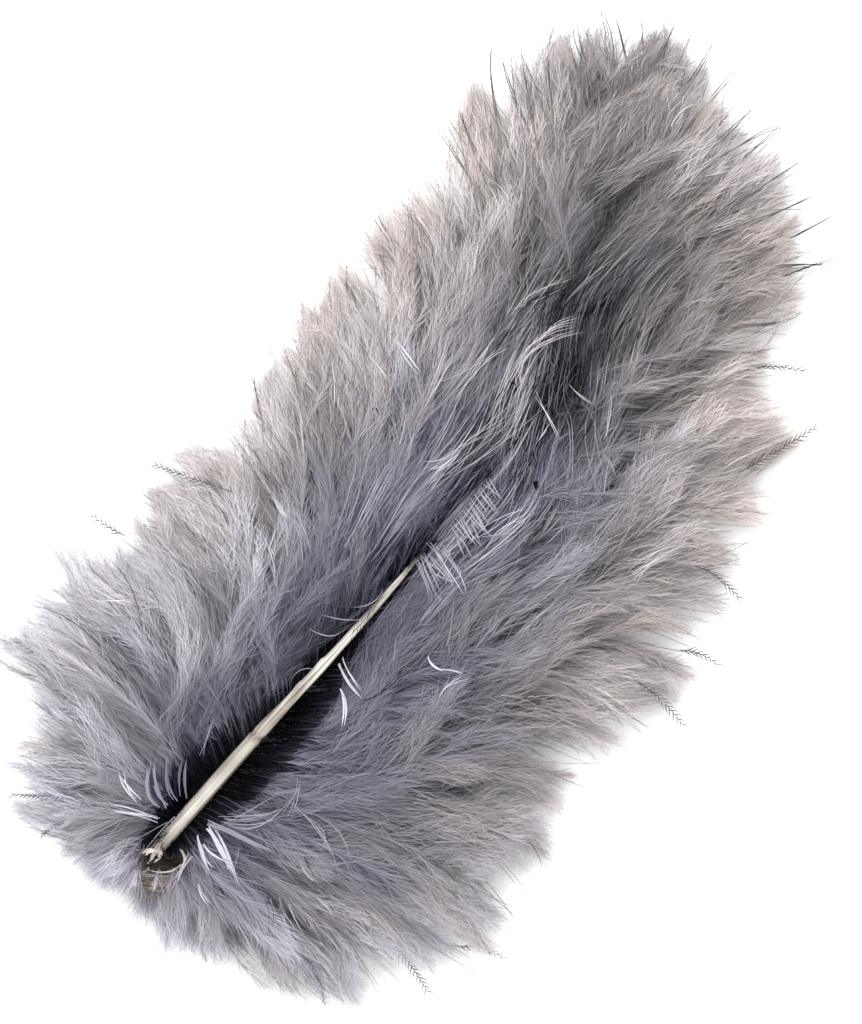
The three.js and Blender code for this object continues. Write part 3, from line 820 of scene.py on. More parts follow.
# Threads that stand out on the down: x and y of the three view pixels that they run through, how
# many there are, how far in millimetres they spread at their start and end, their width, tone
# and brightness
STRAYS = [
    # Bold white barbs below the quill's cut end
    (210, 826, 224, 846, 236, 868, 3, 0.15, 0.3, 0.56, 0.9, 0.52),
    (199, 834, 205, 850, 214, 866, 3, 0.15, 0.25, 0.44, 0.86, 0.5),
    (214, 824, 230, 850, 241, 884, 2, 0.1, 0.2, 0.18, 0.9, 0.5),
    (206, 840, 214, 850, 225, 858, 2, 0.1, 0.3, 0.23, 0.9, 0.5),
    (201, 878, 206, 890, 213, 899, 2, 0.1, 0.2, 0.23, 0.92, 0.5),
    (193, 850, 182, 868, 171, 888, 3, 0.2, 0.6, 0.18, 0.86, 0.45),
    (301, 853, 307, 866, 315, 877, 2, 0.05, 0.1, 0.28, 0.93, 0.55),
    (306, 850, 313, 862, 320, 872, 2, 0.05, 0.1, 0.23, 0.06, 0.35),
    (212, 820, 240, 832, 274, 844, 5, 0.25, 0.8, 0.34, 0.6, 0.5),
    (216, 826, 244, 842, 272, 850, 2, 0.2, 0.5, 0.2, 0.2, 0.42),
    (224, 820, 255, 818, 288, 803, 4, 0.6, 0.9, 0.16, 0.66, 0.5),
    (222, 814, 250, 806, 283, 794, 3, 0.5, 0.9, 0.14, 0.64, 0.48),
    (290, 812, 297, 792, 300, 776, 3, 0.3, 0.5, 0.12, 0.74, 0.47),
    # Left of the quill's end
    (143, 796, 132, 784, 124, 768, 3, 0.3, 0.4, 0.28, 0.95, 0.53),
    (160, 815, 132, 806, 97, 803, 4, 0.2, 0.4, 0.19, 0.94, 0.53),
    (164, 806, 153, 788, 152, 760, 2, 0.25, 0.3, 0.46, 0.62, 0.5),
    (170, 804, 161, 784, 160, 758, 2, 0.25, 0.3, 0.44, 0.54, 0.5),
    (176, 800, 170, 780, 171, 752, 2, 0.25, 0.3, 0.42, 0.46, 0.48),
    (184, 793, 182, 774, 186, 756, 2, 0.25, 0.3, 0.4, 0.36, 0.48),
    # These three dark threads paint the shade in the gaps between the pale crescents above
    (167, 805, 157, 786, 156, 762, 2, 0.2, 0.3, 0.28, 0.14, 0.4),
    (173, 802, 166, 782, 166, 758, 2, 0.2, 0.3, 0.28, 0.12, 0.4),
    (180, 797, 176, 777, 179, 756, 2, 0.2, 0.3, 0.28, 0.1, 0.4),
    (203, 754, 210, 734, 219, 712, 2, 0.15, 0.3, 0.16, 0.6, 0.5),
    (150, 838, 128, 842, 100, 856, 5, 0.5, 1.2, 0.1, 0.7, 0.43),
    (217, 736, 209, 730, 218, 722, 2, 0.3, 0.5, 0.085, 0.55, 0.45),
    # The right edge of the trench
    (339, 662, 349, 680, 364, 697, 3, 0.15, 0.2, 0.2, 0.92, 0.51),
    (343, 656, 350, 672, 363, 688, 2, 0.1, 0.2, 0.17, 0.9, 0.5),
    (342, 687, 347, 704, 345, 724, 3, 0.1, 0.2, 0.2, 0.96, 0.54),
    (363, 697, 382, 690, 403, 668, 4, 0.2, 0.4, 0.12, 0.12, 0.38),
    (428, 655, 433, 664, 443, 671, 2, 0.05, 0.1, 0.26, 0.98, 0.57),
    (439, 693, 450, 683, 470, 676, 2, 0.1, 0.3, 0.13, 0.92, 0.5),
    (440, 668, 452, 668, 464, 673, 2, 0.1, 0.2, 0.12, 0.9, 0.49),
    # Fine threads that leave the quill on the left
    (340, 632, 326, 634, 308, 625, 1, 0, 0, 0.1, 0.8, 0.45),
    (362, 618, 342, 618, 320, 612, 1, 0, 0, 0.1, 0.78, 0.45),
    (384, 588, 372, 602, 352, 606, 1, 0, 0, 0.093, 0.78, 0.45),
    (320, 670, 304, 668, 292, 678, 1, 0, 0, 0.085, 0.75, 0.43),
    # Crossed barbs where the quill goes under the down
    (424, 552, 438, 570, 455, 584, 3, 0.5, 0.6, 0.14, 0.86, 0.5),
    (430, 544, 446, 566, 455, 592, 3, 0.5, 0.6, 0.13, 0.86, 0.49),
    (417, 558, 430, 580, 444, 604, 4, 0.6, 0.9, 0.11, 0.7, 0.45),
    (434, 576, 441, 562, 447, 551, 3, 0.8, 0.8, 0.11, 0.82, 0.49),
    (444, 586, 450, 572, 455, 560, 3, 0.7, 0.7, 0.11, 0.82, 0.49),
    # Long barbs that arch over the middle
    (430, 472, 470, 448, 522, 408, 10, 1.2, 1.65, 0.086, 0.74, 0.45),
    (428, 470, 442, 464, 458, 452, 5, 0.45, 0.45, 0.16, 0.9, 0.53),
    (455, 398, 482, 366, 503, 346, 5, 0.6, 0.75, 0.1, 0.9, 0.5),
    (422, 416, 462, 380, 500, 340, 6, 1.2, 1.2, 0.08, 0.78, 0.45),
    (519, 388, 528, 352, 573, 329, 7, 0.45, 0.6, 0.11, 0.9, 0.53),
    (500, 432, 514, 385, 546, 336, 8, 1.2, 1.35, 0.092, 0.8, 0.45),
    (536, 350, 550, 332, 575, 324, 4, 0.3, 0.45, 0.098, 0.9, 0.5),
    (508, 324, 534, 298, 566, 284, 6, 1.2, 1.2, 0.086, 0.76, 0.45),
    (516, 318, 540, 300, 572, 294, 6, 0.5, 0.5, 0.14, 0.12, 0.4),
    (512, 330, 500, 344, 488, 366, 3, 0.3, 0.4, 0.14, 0.14, 0.4),
    # In and below the dark parting
    (535, 396, 550, 418, 564, 442, 2, 0.3, 0.45, 0.11, 0.9, 0.5),
    (551, 421, 543, 432, 532, 446, 2, 0.15, 0.3, 0.098, 0.86, 0.48),
    (567, 386, 577, 400, 589, 412, 2, 0.15, 0.3, 0.11, 0.82, 0.46),
    (565, 414, 573, 440, 563, 494, 2, 0.3, 0.75, 0.08, 0.76, 0.45),
    (606, 398, 604, 420, 600, 443, 2, 0.15, 0.3, 0.12, 0.9, 0.51),
    (600, 443, 606, 433, 614, 424, 2, 0.15, 0.3, 0.086, 0.86, 0.48),
    (583, 415, 596, 446, 600, 500, 4, 1.2, 1.95, 0.073, 0.66, 0.43),
    (548, 470, 553, 445, 566, 425, 5, 0.9, 1.35, 0.073, 0.6, 0.43),
    # These two dark bundles paint the shade inside the parting
    (541, 388, 552, 370, 548, 352, 5, 1, 0.8, 0.12, 0.28, 0.4),
    (559, 420, 556, 390, 566, 356, 8, 1.3, 1.6, 0.12, 0.3, 0.43),
    # Pale marks elsewhere
    (398, 342, 409, 360, 421, 377, 3, 0.3, 0.15, 0.16, 0.9, 0.57),
    (372, 358, 380, 368, 388, 384, 2, 0.15, 0.15, 0.12, 0.9, 0.55),
    (274, 499, 281, 510, 290, 519, 2, 0.15, 0.3, 0.13, 0.9, 0.54),
    (494, 536, 508, 524, 527, 511, 5, 0.75, 1.05, 0.098, 0.88, 0.49),
    (484, 540, 500, 528, 516, 520, 4, 0.75, 1.05, 0.092, 0.84, 0.47),
    (634, 574, 652, 560, 680, 547, 14, 0.6, 0.75, 0.12, 0.9, 0.46),
    # A dark thread that paints the shade of the slit in the pale patch above
    (640, 570, 654, 561, 668, 552, 1, 0, 0, 0.12, 0.06, 0.3),
    (596, 452, 606, 462, 612, 478, 2, 0.15, 0.3, 0.092, 0.86, 0.48),
    # Long fine stems across the left side and below
    (100, 556, 134, 590, 146, 650, 1, 0, 0, 0.11, 0.16, 0.32),
    (30, 607, 75, 622, 120, 662, 1, 0, 0, 0.11, 0.14, 0.32),
    (112, 556, 160, 600, 150, 655, 1, 0, 0, 0.085, 0.3, 0.35),
    (515, 839, 536, 853, 546, 886, 1, 0, 0, 0.11, 0.2, 0.35),
    (300, 800, 330, 830, 345, 870, 4, 0.6, 1.4, 0.11, 0.78, 0.46),
    (242, 880, 258, 905, 262, 935, 4, 0.6, 1.2, 0.11, 0.72, 0.45),
    (262, 880, 272, 900, 268, 926, 3, 0.4, 0.8, 0.14, 0.2, 0.38),
]

# Short parallel barbs in rows: the start and the end of the row, the direction of its barbs, how
# long they are, and how many
COMBS = [
    ((450, 524), (488, 478), -56, 3.6, 17),
    ((455, 540), (478, 512), -60, 3.0, 10),
    ((430, 556), (440, 540), -58, 4.2, 6),
    ((416, 560), (426, 552), -66, 4.6, 5),
]

# Single barbs that stand out from the outline: x and y of three view pixels, the length of their
# barbules and the angle between these and the barb
LONE_BARBS = [
    (742, 472, 780, 452, 824, 425, 2.6, 34), (634, 680, 662, 700, 689, 730, 2.3, 40),
    (396, 950, 412, 975, 428, 1002, 2.2, 42), (80, 792, 40, 797, 3, 801, 2.0, 38),
    (80, 812, 58, 824, 34, 842, 2.0, 38), (232, 492, 190, 478, 148, 464, 2.4, 36),
    (696, 566, 722, 578, 746, 600, 2.2, 36), (684, 652, 704, 656, 724, 668, 1.8, 36),
    (120, 536, 104, 528, 86, 516, 1.8, 34), (455, 950, 480, 955, 505, 967, 1.6, 34),
    (740, 372, 772, 364, 812, 368, 2.0, 26), (300, 950, 316, 975, 322, 1014, 1.8, 34),
    (40, 655, 24, 648, 10, 640, 1.8, 34),
]

# Bare ends of barbs that stand out like whiskers round the feather's tip: x and y of three pixels
WHISKERS = [
    (745, 290, 800, 268, 859, 250), (770, 270, 806, 262, 832, 262), (750, 250, 796, 232, 842, 209),
    (745, 222, 790, 205, 826, 186), (735, 205, 770, 180, 806, 156), (716, 180, 756, 146, 797, 113),
    (706, 150, 735, 120, 758, 98), (690, 120, 718, 88, 744, 58), (676, 96, 700, 66, 720, 36),
    (656, 76, 668, 46, 680, 14), (640, 66, 646, 40, 644, 12), (610, 60, 612, 30, 604, 2),
    (585, 64, 580, 38, 578, 10), (556, 70, 552, 44, 556, 14), (538, 96, 530, 66, 524, 44),
    (500, 118, 492, 76, 494, 36), (528, 110, 512, 76, 504, 54), (470, 178, 454, 150, 440, 120),
    (482, 160, 468, 130, 460, 106), (404, 250, 386, 230, 376, 212), (352, 300, 346, 280, 345, 262),
    (262, 420, 254, 396, 250, 374), (764, 320, 786, 318, 806, 310), (630, 60, 626, 34, 618, 8),
    (664, 80, 686, 50, 696, 24), (726, 160, 760, 132, 786, 120),
]

# Points along a lone barb, a whisker and a bare end of the fringe
LONE_POINTS = 14
WHISKER_POINTS = 9
FRINGE_POINTS = 8

# Bundles of sleek barbs over the middle: how many, the barbs in each, the range along Y that
# they start in, and the tones of the bundles with the share that each tone has
SLEEK_BUNDLES = 230
SLEEK_BARBS = 5
SLEEK_RANGE = (-12, 34)
SLEEK_TONES = (0.1, 0.2, 0.5, 0.72, 0.86)
SLEEK_SHARES = (0.24, 0.2, 0.2, 0.2, 0.16)


def curve_through(places, rng, number, start_spread, end_spread):
    """Quadratic curves through three places of the view, N x 3 x 2 control points."""
    start, middle, end = (from_view(*places[k:k + 2]) for k in (0, 2, 4))
    control = 2 * middle - 0.5 * (start + end)
    spread = np.array([start_spread, 0.5 * (start_spread + end_spread), end_spread])[None, :, None]
    return np.array([start, control, end]) + rng.normal(0, 1, (number, 3, 2)) * spread


def evened(heights):
    return np.convolve(np.pad(heights, 1, mode="edge"), [0.3, 0.4, 0.3], "valid")


def on_surface(curves, surface, height, points=7):
    """Lines along quadratic curves, N x points x 3, at a height over the down."""
    t = np.linspace(0, 1, points)[None, :, None]
    flat = (1 - t) ** 2 * curves[:, :1] + 2 * (1 - t) * t * curves[:, 1:2] + t**2 * curves[:, 2:]
    level = np.apply_along_axis(evened, 1, surface.at(flat))
    return np.concatenate([flat, (level + height)[..., None]], -1)


def bare_ends(curves, surface, height, points):
    """Lines along the curves that stay well over the floor out to their tips."""
    lines = on_surface(curves, surface, height, points)
    lowest = mix(0.7 * lines[:, :1, 2], 4.5, np.linspace(0, 1, points))
    lines[..., 2] = np.maximum(lines[..., 2], lowest)
    return lines


def add_strays(threads, surface, rng):
    for *places, number, start_spread, end_spread, width, tone, shade in STRAYS:
        lines = on_surface(curve_through(places, rng, number, start_spread, end_spread), surface, 1.2)
        lines[..., 2] += rng.uniform(-0.3, 0.5, number)[:, None]
        widths = width * rng.uniform(0.75, 1.1, number)
        tones = np.full((number, 2), tone) + rng.normal(0, 0.02, (number, 1))
        shades = shade + rng.normal(0, 0.05, number)
        threads.ribbons(lines, widths, tones, shades, facing_up(rng, 0.25, number), rng, lens=True)


def add_combs(threads, surface, rng):
    for start, end, direction, length, number in COMBS:
        places = mix(from_view(*start), from_view(*end), np.linspace(0, 1, number)[:, None])
        places += rng.normal(0, 0.12, places.shape)
        way = headings(np.radians(direction + FEATHER_TURN + rng.normal(0, 5, number)))
        way = way * (length * rng.uniform(0.7, 1.2, number))[:, None]
        middles = places + 0.5 * way + rng.normal(0, 0.08, way.shape)
        lines = on_surface(np.stack([places, middles, places + way], 1), surface, 1.7, 4)
        widths, tones = np.full(number, 0.13), np.full((number, 2), 0.8)
        shades = rng.uniform(0.3, 0.5, number)
        threads.ribbons(lines, widths, tones, shades, facing_up(rng, 0.25, number), rng, lens=True)


def add_sleek_bundles(threads, surface, rng):
    """Bundles of smooth barbs, pale and dark by turns, that follow the flow over the middle."""
    y = rng.uniform(*SLEEK_RANGE, SLEEK_BUNDLES)
    x = np.interp(y, SHAFT[:, 1], SHAFT[:, 0]) + rng.normal(0, 5.5, SLEEK_BUNDLES)
    turns = np.radians(rng.normal(0, 7, SLEEK_BUNDLES))
    lengths = rng.uniform(6, 15, SLEEK_BUNDLES)
    tones = rng.choice(SLEEK_TONES, SLEEK_BUNDLES, p=SLEEK_SHARES)
    bundle = np.repeat(np.arange(SLEEK_BUNDLES), SLEEK_BARBS)
    number = len(bundle)
    starts = np.stack([x, y], -1)[bundle] + rng.normal(0, 0.45, (number, 2))
    spread = np.radians(rng.normal(0, 3, number))
    lengths = lengths[bundle] * rng.uniform(0.7, 1.1, number)
    flat = np.moveaxis(traced(starts, lengths, turns[bundle] + spread), 0, 1)
    level = surface.at(flat)
    level = mix(level, level.mean(1, keepdims=True), 0.5) + rng.uniform(0.0, 1.0, number)[:, None]
    lines = np.concatenate([flat, level[..., None]], -1)
    # The tone is lowered by the painted shade of the partings and the trench
    dark = np.maximum(painted_shade_at(lines[:, 3]), 0)
    tone = (tones[bundle] * (1 - 0.9 * dark) + rng.normal(0, 0.04, number))[:, None].repeat(2, 1)
    kept = ~covers_quill(lines) & (trench_at(lines).max(-1) < 0.3) & (rng.random(number) > 0.5 * dark)
    width, shade = rng.uniform(0.07, 0.15, number), rng.normal(0.47, 0.06, number)
    facing = facing_up(rng, 0.25, number)
    threads.ribbons(lines[kept], width[kept], tone[kept], shade[kept], facing[kept], rng, lens=True)


def add_lone_barbs(threads, surface, rng):
    for *places, length, lean in LONE_BARBS:
        curve = curve_through(places, rng, 1, 0.0, 0.0)
        stem = on_surface(curve, surface, 0.6, LONE_POINTS)
        stem[..., 2] = np.maximum(stem[..., 2], np.linspace(6, 3.5, LONE_POINTS))
        radius, tone = np.linspace(0.09, 0.035, LONE_POINTS)[None], np.full((1, LONE_POINTS), 0.26)
        threads.tubes(stem, radius, tone, np.array([0.45]), rng)

        number = 2 * int(np.linalg.norm(curve[0, 2] - curve[0, 0]) / 0.75)
        place = np.linspace(0.12, 0.98, number)
        root = rows_at(stem[0], place)
        forward = unit(rows_at(np.gradient(stem[0], axis=0), place))[:, :2]
        side = np.where(np.arange(number) % 2, 1.0, -1.0)
        angle = np.radians(lean + rng.normal(0, 5, number)) * side
        way = np.column_stack([turned(forward, angle), rng.normal(0.1, 0.2, number)])
        reach = (length * (1 - 0.45 * place) * rng.uniform(0.75, 1.1, number))[:, None]
        curl = np.column_stack([turned(forward, angle * 0.55), rng.normal(0, 0.2, number)])
        middle = root + way * reach * 0.5
        lines = np.stack([root, middle, middle + curl * reach * 0.5], 1)
        width, tones = np.full(number, 0.17), np.full((number, 2), (0.26, 0.44))
        shades = rng.normal(0.5, 0.08, number)
        threads.ribbons(lines, width, tones, shades, facing_up(rng, 0.25, number), rng)


def add_whiskers(threads, surface, rng):
    share = np.linspace(0, 1, WHISKER_POINTS)
    for places in WHISKERS:
        curves = curve_through(places, rng, 2, 0.5, 0.2)
        curves[:, 0] += 0.4 * (curves[:, 0] - curves[:, 2])
        lines = bare_ends(curves, surface, 0.4, WHISKER_POINTS)
        radius = np.linspace(0.13, 0.045, WHISKER_POINTS)[None].repeat(2, 0)
        tone = mix(0.55, 0.2, smoothstep(0.2, 0.7, share))[None].repeat(2, 0)
        threads.tubes(lines, radius, tone, rng.uniform(0.35, 0.55, 2), rng, 0.3)


# Bare barb ends round the outline: the rows, the part of them, and how many
FRINGE = [
    (LEFT_BARBS, 0.0, 0.35, 26),
    (LEFT_BARBS, 0.35, 1.0, 90),
    (TIP_BARBS, 0.0, 1.0, 44),
    (RIGHT_BARBS, 0.5, 1.0, 56),
    (RIGHT_BARBS, 0.0, 0.5, 30),
]


def add_fringe(threads, surface, rng):
    share = np.linspace(0, 1, FRINGE_POINTS)
    for rows, low, high, number in FRINGE:
        values = rows_at(rows, rng.uniform(low, high, number))
        angle = np.radians(values[:, 4] + rng.normal(0, 9, number))
        way = headings(angle)
        side = headings(angle + np.pi / 2) * rng.normal(0, 0.8, number)[:, None]
        tip = values[:, 2:4] + way * rng.uniform(-2.0, 2.4, number)[:, None]
        start = tip - way * rng.uniform(9, 14, number)[:, None] + side
        curves = np.stack([start, 0.5 * (start + tip) + side, tip], 1)
        lines = bare_ends(curves, surface, 0.3, FRINGE_POINTS)
        radius = np.linspace(0.09, 0.035, FRINGE_POINTS)[None] * rng.uniform(0.6, 1.1, (number, 1))
        tone = mix(0.62, 0.36, smoothstep(0.3, 0.8, share))[None].repeat(number, 0)
        threads.tubes(lines, radius, tone, rng.uniform(0.35, 0.6, number), rng, 0.2)


# Specks of dirt: the view pixels that each runs between, and its width in millimetres
SPECKS = [
    ((508.5, 383.5), (515.5, 387.5), 0.26),
    ((533.5, 481.5), (534, 491.5), 0.66),
    ((377, 410), (380, 416), 0.2),
    ((484, 470), (488, 475), 0.16),
    ((430, 541), (442, 541), 0.16),
    ((407, 704), (408, 706), 0.18),
]


def add_specks(threads, surface, rng):
    for start, end, width in SPECKS:
        start, end = from_view(*start), from_view(*end)
        line = on_surface(np.array([[start, 0.5 * (start + end), end]]), surface, 1.5, 3)
        threads.ribbons(line, np.array([width]), np.zeros((1, 2)), np.array([0.1]), UP[None], rng)


def details_piece(material, surface):
    rng = np.random.default_rng(40)
    threads = Threads()
    add_strays(threads, surface, rng)
    add_sleek_bundles(threads, surface, rng)
    add_combs(threads, surface, rng)
    add_lone_barbs(threads, surface, rng)
    add_whiskers(threads, surface, rng)
    add_fringe(threads, surface, rng)
    add_specks(threads, surface, rng)
    threads.mesh("stray_threads", material)


# Scraps of dry sheath round the cut end, with the same columns as the threads that stand out
SCRAPS = [
    # Dark threads that paint the shade in the hollow right of the cut end, its pale rim, and the crumpled
    # strands below
    (163, 852, 174, 858, 185, 853, 12, 0.4, 0.35, 0.6, 0.1, 0.4),
    (160, 857, 170, 861, 180, 858, 6, 0.3, 0.3, 0.5, 0.16, 0.4),
    (183, 846, 188, 856, 182, 864, 3, 0.1, 0.1, 0.2, 0.88, 0.5),
    (184, 862, 170, 868, 151, 865, 3, 0.15, 0.15, 0.2, 0.84, 0.5),
    (142, 869, 158, 873, 177, 869, 10, 0.45, 0.6, 0.17, 0.66, 0.5),
    (141, 875, 155, 879, 172, 875, 10, 0.5, 0.6, 0.17, 0.6, 0.5),
    (139, 882, 151, 886, 166, 881, 10, 0.5, 0.7, 0.17, 0.56, 0.48),
    (138, 888, 149, 893, 160, 890, 7, 0.5, 0.7, 0.17, 0.62, 0.48),
    (143, 880, 151, 877, 161, 880, 5, 0.5, 0.4, 0.2, 0.3, 0.4),
    (149, 842, 144, 854, 142, 868, 7, 0.4, 0.5, 0.17, 0.44, 0.45),
    (146, 850, 149, 858, 147, 866, 4, 0.2, 0.2, 0.25, 0.12, 0.4),
]
# Pale torn flakes at the cut end, and dark flakes that paint the shade of the inside between them
FLAKES = [
    (149, 850, 155, 846, 162, 848, 3, 0.2, 0.2, 0.45, 0.92, 0.5),
    (152, 857, 158, 850, 161, 842, 3, 0.25, 0.2, 0.4, 0.84, 0.5),
    (160, 858, 164, 852, 163, 845, 2, 0.15, 0.15, 0.4, 0.9, 0.5),
    (153, 860, 148, 867, 142, 872, 2, 0.1, 0.15, 0.22, 0.86, 0.5),
    (153, 857, 157, 853, 161, 853, 3, 0.15, 0.15, 0.4, 0.05, 0.3),
    (150, 860, 156, 861, 162, 860, 3, 0.15, 0.15, 0.35, 0.12, 0.35),
]

# The least height over the floor of the scraps and of the flakes
SCRAPS_HEIGHT = 10.4
FLAKES_HEIGHT = 12.3


def scraps_piece(material, surface):
    rng = np.random.default_rng(50)
    threads = Threads()
    tables = [(SCRAPS_HEIGHT, row) for row in SCRAPS] + [(FLAKES_HEIGHT, row) for row in FLAKES]
    for height, (*places, number, start_spread, end_spread, width, tone, shade) in tables:
        lines = on_surface(curve_through(places, rng, number, start_spread, end_spread), surface, 0.8)
        lines[..., 2] = np.maximum(lines[..., 2], height) + rng.uniform(-0.3, 0.5, number)[:, None]
        tones = np.full((number, 2), tone) + rng.normal(0, 0.06, (number, 1))
        widths = width * rng.uniform(0.6, 1.2, number)
        shades = shade + rng.normal(0, 0.08, number)
        threads.ribbons(lines, widths, tones, shades, facing_up(rng, 0.5, number), rng, lens=True)
    threads.mesh("sheath_scraps", material, "quill")


# The quill's faces round it, its turn from Y, its ring, the steps on its left side, where its
# groove begins, where it grows paler, and the hollow at its cut end
QUILL_SIDES = 28
QUILL_TURN = math.radians(7.8)
RING_Y = -35.9
STEPS_Y = (-26.9, -22.9)
GROOVE_RANGE = (-34.0, -29.0)
PALE_RANGE = (-34.0, -24.0)
HOLLOW_DEPTH = 2.2
HOLLOW_RADII = (0.66, 0.3)
STREAK_SCALE = (2200, 50, 2200)
QUILL_TONE_PLACES = (0.25, 0.42, 0.55, 0.75)
QUILL_TONES = ((94, 88, 79), (128, 121, 110), (154, 148, 138), (194, 190, 182))


def linear(colour):
    """Scene-linear RGBA of an sRGB colour given as 0 to 255."""
    share = np.array(colour, float) / 255
    value = np.where(share <= 0.04045, share / 12.92, ((share + 0.055) / 1.055) ** 2.4)
    return (*value, 1.0)


def new_material(name):
    material = bpy.data.materials.new(name)
    material.use_nodes = True
    material.node_tree.nodes.clear()
    return material, material.node_tree


def add_node(tree, kind, inputs=(), **settings):
    """A shader node whose inputs are linked to sockets or set to values."""
    node = tree.nodes.new("ShaderNode" + kind)
    for name, value in settings.items():
        setattr(node, name, value)
    for name, value in dict(inputs).items():
        if isinstance(value, bpy.types.NodeSocket):
            tree.links.new(value, node.inputs[name])
        else:
            node.inputs[name].default_value = value
    return node


def finished(material, shader):
    """The material, once its last shader is on its surface."""
    add_node(material.node_tree, "OutputMaterial", {"Surface": shader.outputs[0]})
    return material


def maths(tree, operation, *inputs):
    return add_node(tree, "Math", enumerate(inputs), operation=operation).outputs[0]


def colour_ramp(tree, factor, places, colours):
    node = add_node(tree, "ValToRGB", {"Fac": factor})
    ramp = node.color_ramp
    while len(ramp.elements) < len(colours):
        ramp.elements.new(0.5)
    for element, place, colour in zip(ramp.elements, places, colours):
        element.position = place
        element.color = linear(colour)
    return node.outputs["Color"]


def thread_material(name, *tone_tables):
    """Threads coloured through their map: the tone, the step from cool to warm, the brightness."""
    material, tree = new_material(name)
    place = add_node(tree, "UVMap", uv_map=MAP_NAME).outputs["UV"]
    split = add_node(tree, "SeparateXYZ", {0: place})
    scaled = maths(tree, "MULTIPLY", split.outputs["Y"], BANDS)
    warmth = maths(tree, "DIVIDE", maths(tree, "FLOOR", scaled), BANDS - 1)
    cool, warm = (colour_ramp(tree, split.outputs["X"], TONE_PLACES, tones) for tones in tone_tables)
    blend = add_node(tree, "Mix", {"Factor": warmth, "A": cool, "B": warm}, data_type="RGBA")
    gain = add_node(tree, "MapRange", {"Value": maths(tree, "FRACT", scaled), "To Min": 0.3, "To Max": 1.7})
    factors = {0: blend.outputs["Result"], "Scale": gain.outputs["Result"]}
    colour = add_node(tree, "VectorMath", factors, operation="SCALE").outputs["Vector"]
    sheen = {"Roughness": 0.7, "Specular IOR Level": 0.08}
    body = add_node(tree, "BsdfPrincipled", {"Base Color": colour, **sheen})
    through = add_node(tree, "BsdfTranslucent", {"Color": colour})
    both = add_node(tree, "MixShader", {"Fac": 0.35, 1: body.outputs[0], 2: through.outputs[0]})
    return finished(material, both)


def quill_material():
    """Cream horn with fine streaks along the quill, darker at its ring and paler above it."""
    material, tree = new_material("quill")
    place = add_node(tree, "TexCoord").outputs["Object"]
    turn = add_node(tree, "Mapping", {"Vector": place, "Rotation": (0, 0, QUILL_TURN)}).outputs[0]
    stretch = add_node(tree, "Mapping", {"Vector": turn, "Scale": STREAK_SCALE}).outputs[0]
    streaks = add_node(tree, "TexNoise", {"Vector": stretch, "Scale": 1.0, "Detail": 4.0}).outputs["Fac"]
    clouds = add_node(tree, "TexNoise", {"Vector": place, "Scale": 160.0}).outputs["Fac"]
    y = add_node(tree, "SeparateXYZ", {0: place}).outputs["Y"]
    away = maths(tree, "SUBTRACT", y, (RING_Y + 0.4 - CENTRE[1]) * MM)
    away = maths(tree, "ABSOLUTE", away)
    ring = add_node(tree, "MapRange", {"Value": away, "From Max": 0.8 * MM, "To Min": -0.22, "To Max": 0.0})
    low, high = ((edge - CENTRE[1]) * MM for edge in PALE_RANGE)
    pale = add_node(tree, "MapRange", {"Value": y, "From Min": low, "From Max": high, "To Max": 0.14})
    total = maths(tree, "MULTIPLY_ADD", clouds, 0.5, -0.25)
    for part in (ring.outputs["Result"], pale.outputs["Result"]):
        total = maths(tree, "ADD", total, part)
    total = maths(tree, "ADD", streaks, total)
    roughness = add_node(tree, "MapRange", {"Value": total, "To Min": 0.5, "To Max": 0.32})
    bump = add_node(tree, "Bump", {"Height": streaks, "Strength": 0.35, "Distance": 0.1 * MM})
    body = add_node(tree, "BsdfPrincipled", {
        "Base Color": colour_ramp(tree, total, QUILL_TONE_PLACES, QUILL_TONES),
        "Roughness": roughness.outputs["Result"],
        "Normal": bump.outputs["Normal"],
    })
    return finished(material, body)


def quill_surface(y, turn):
    """The quill's radius at places y and turns round it, with its ring, steps and groove."""
    radius = np.interp(y, QUILL_Y, QUILL_RADIUS)[:, None] * np.ones_like(turn)
    radius = radius * (
        1 + 0.03 * np.sin(5 * turn + 0.05 * y[:, None]) + 0.015 * np.sin(11 * turn - 0.08 * y[:, None])
    )
    radius += 0.08 * np.exp(-(((y - RING_Y) / 0.35) ** 2))[:, None]
    radius -= 0.09 * np.exp(-(((y - RING_Y - 0.65) / 0.3) ** 2))[:, None]
    left = np.clip(-np.cos(turn), 0, 1)
    for step in STEPS_Y:
        before = smoothstep(step - 1.6, step, y) * (1 - smoothstep(step, step + 0.5, y))
        radius += 0.13 * before[:, None] * left
    groove = np.exp(-(((turn - 1.4) / 0.3) ** 2))
    return radius * (1 - 0.5 * smoothstep(*GROOVE_RANGE, y)[:, None] * groove)


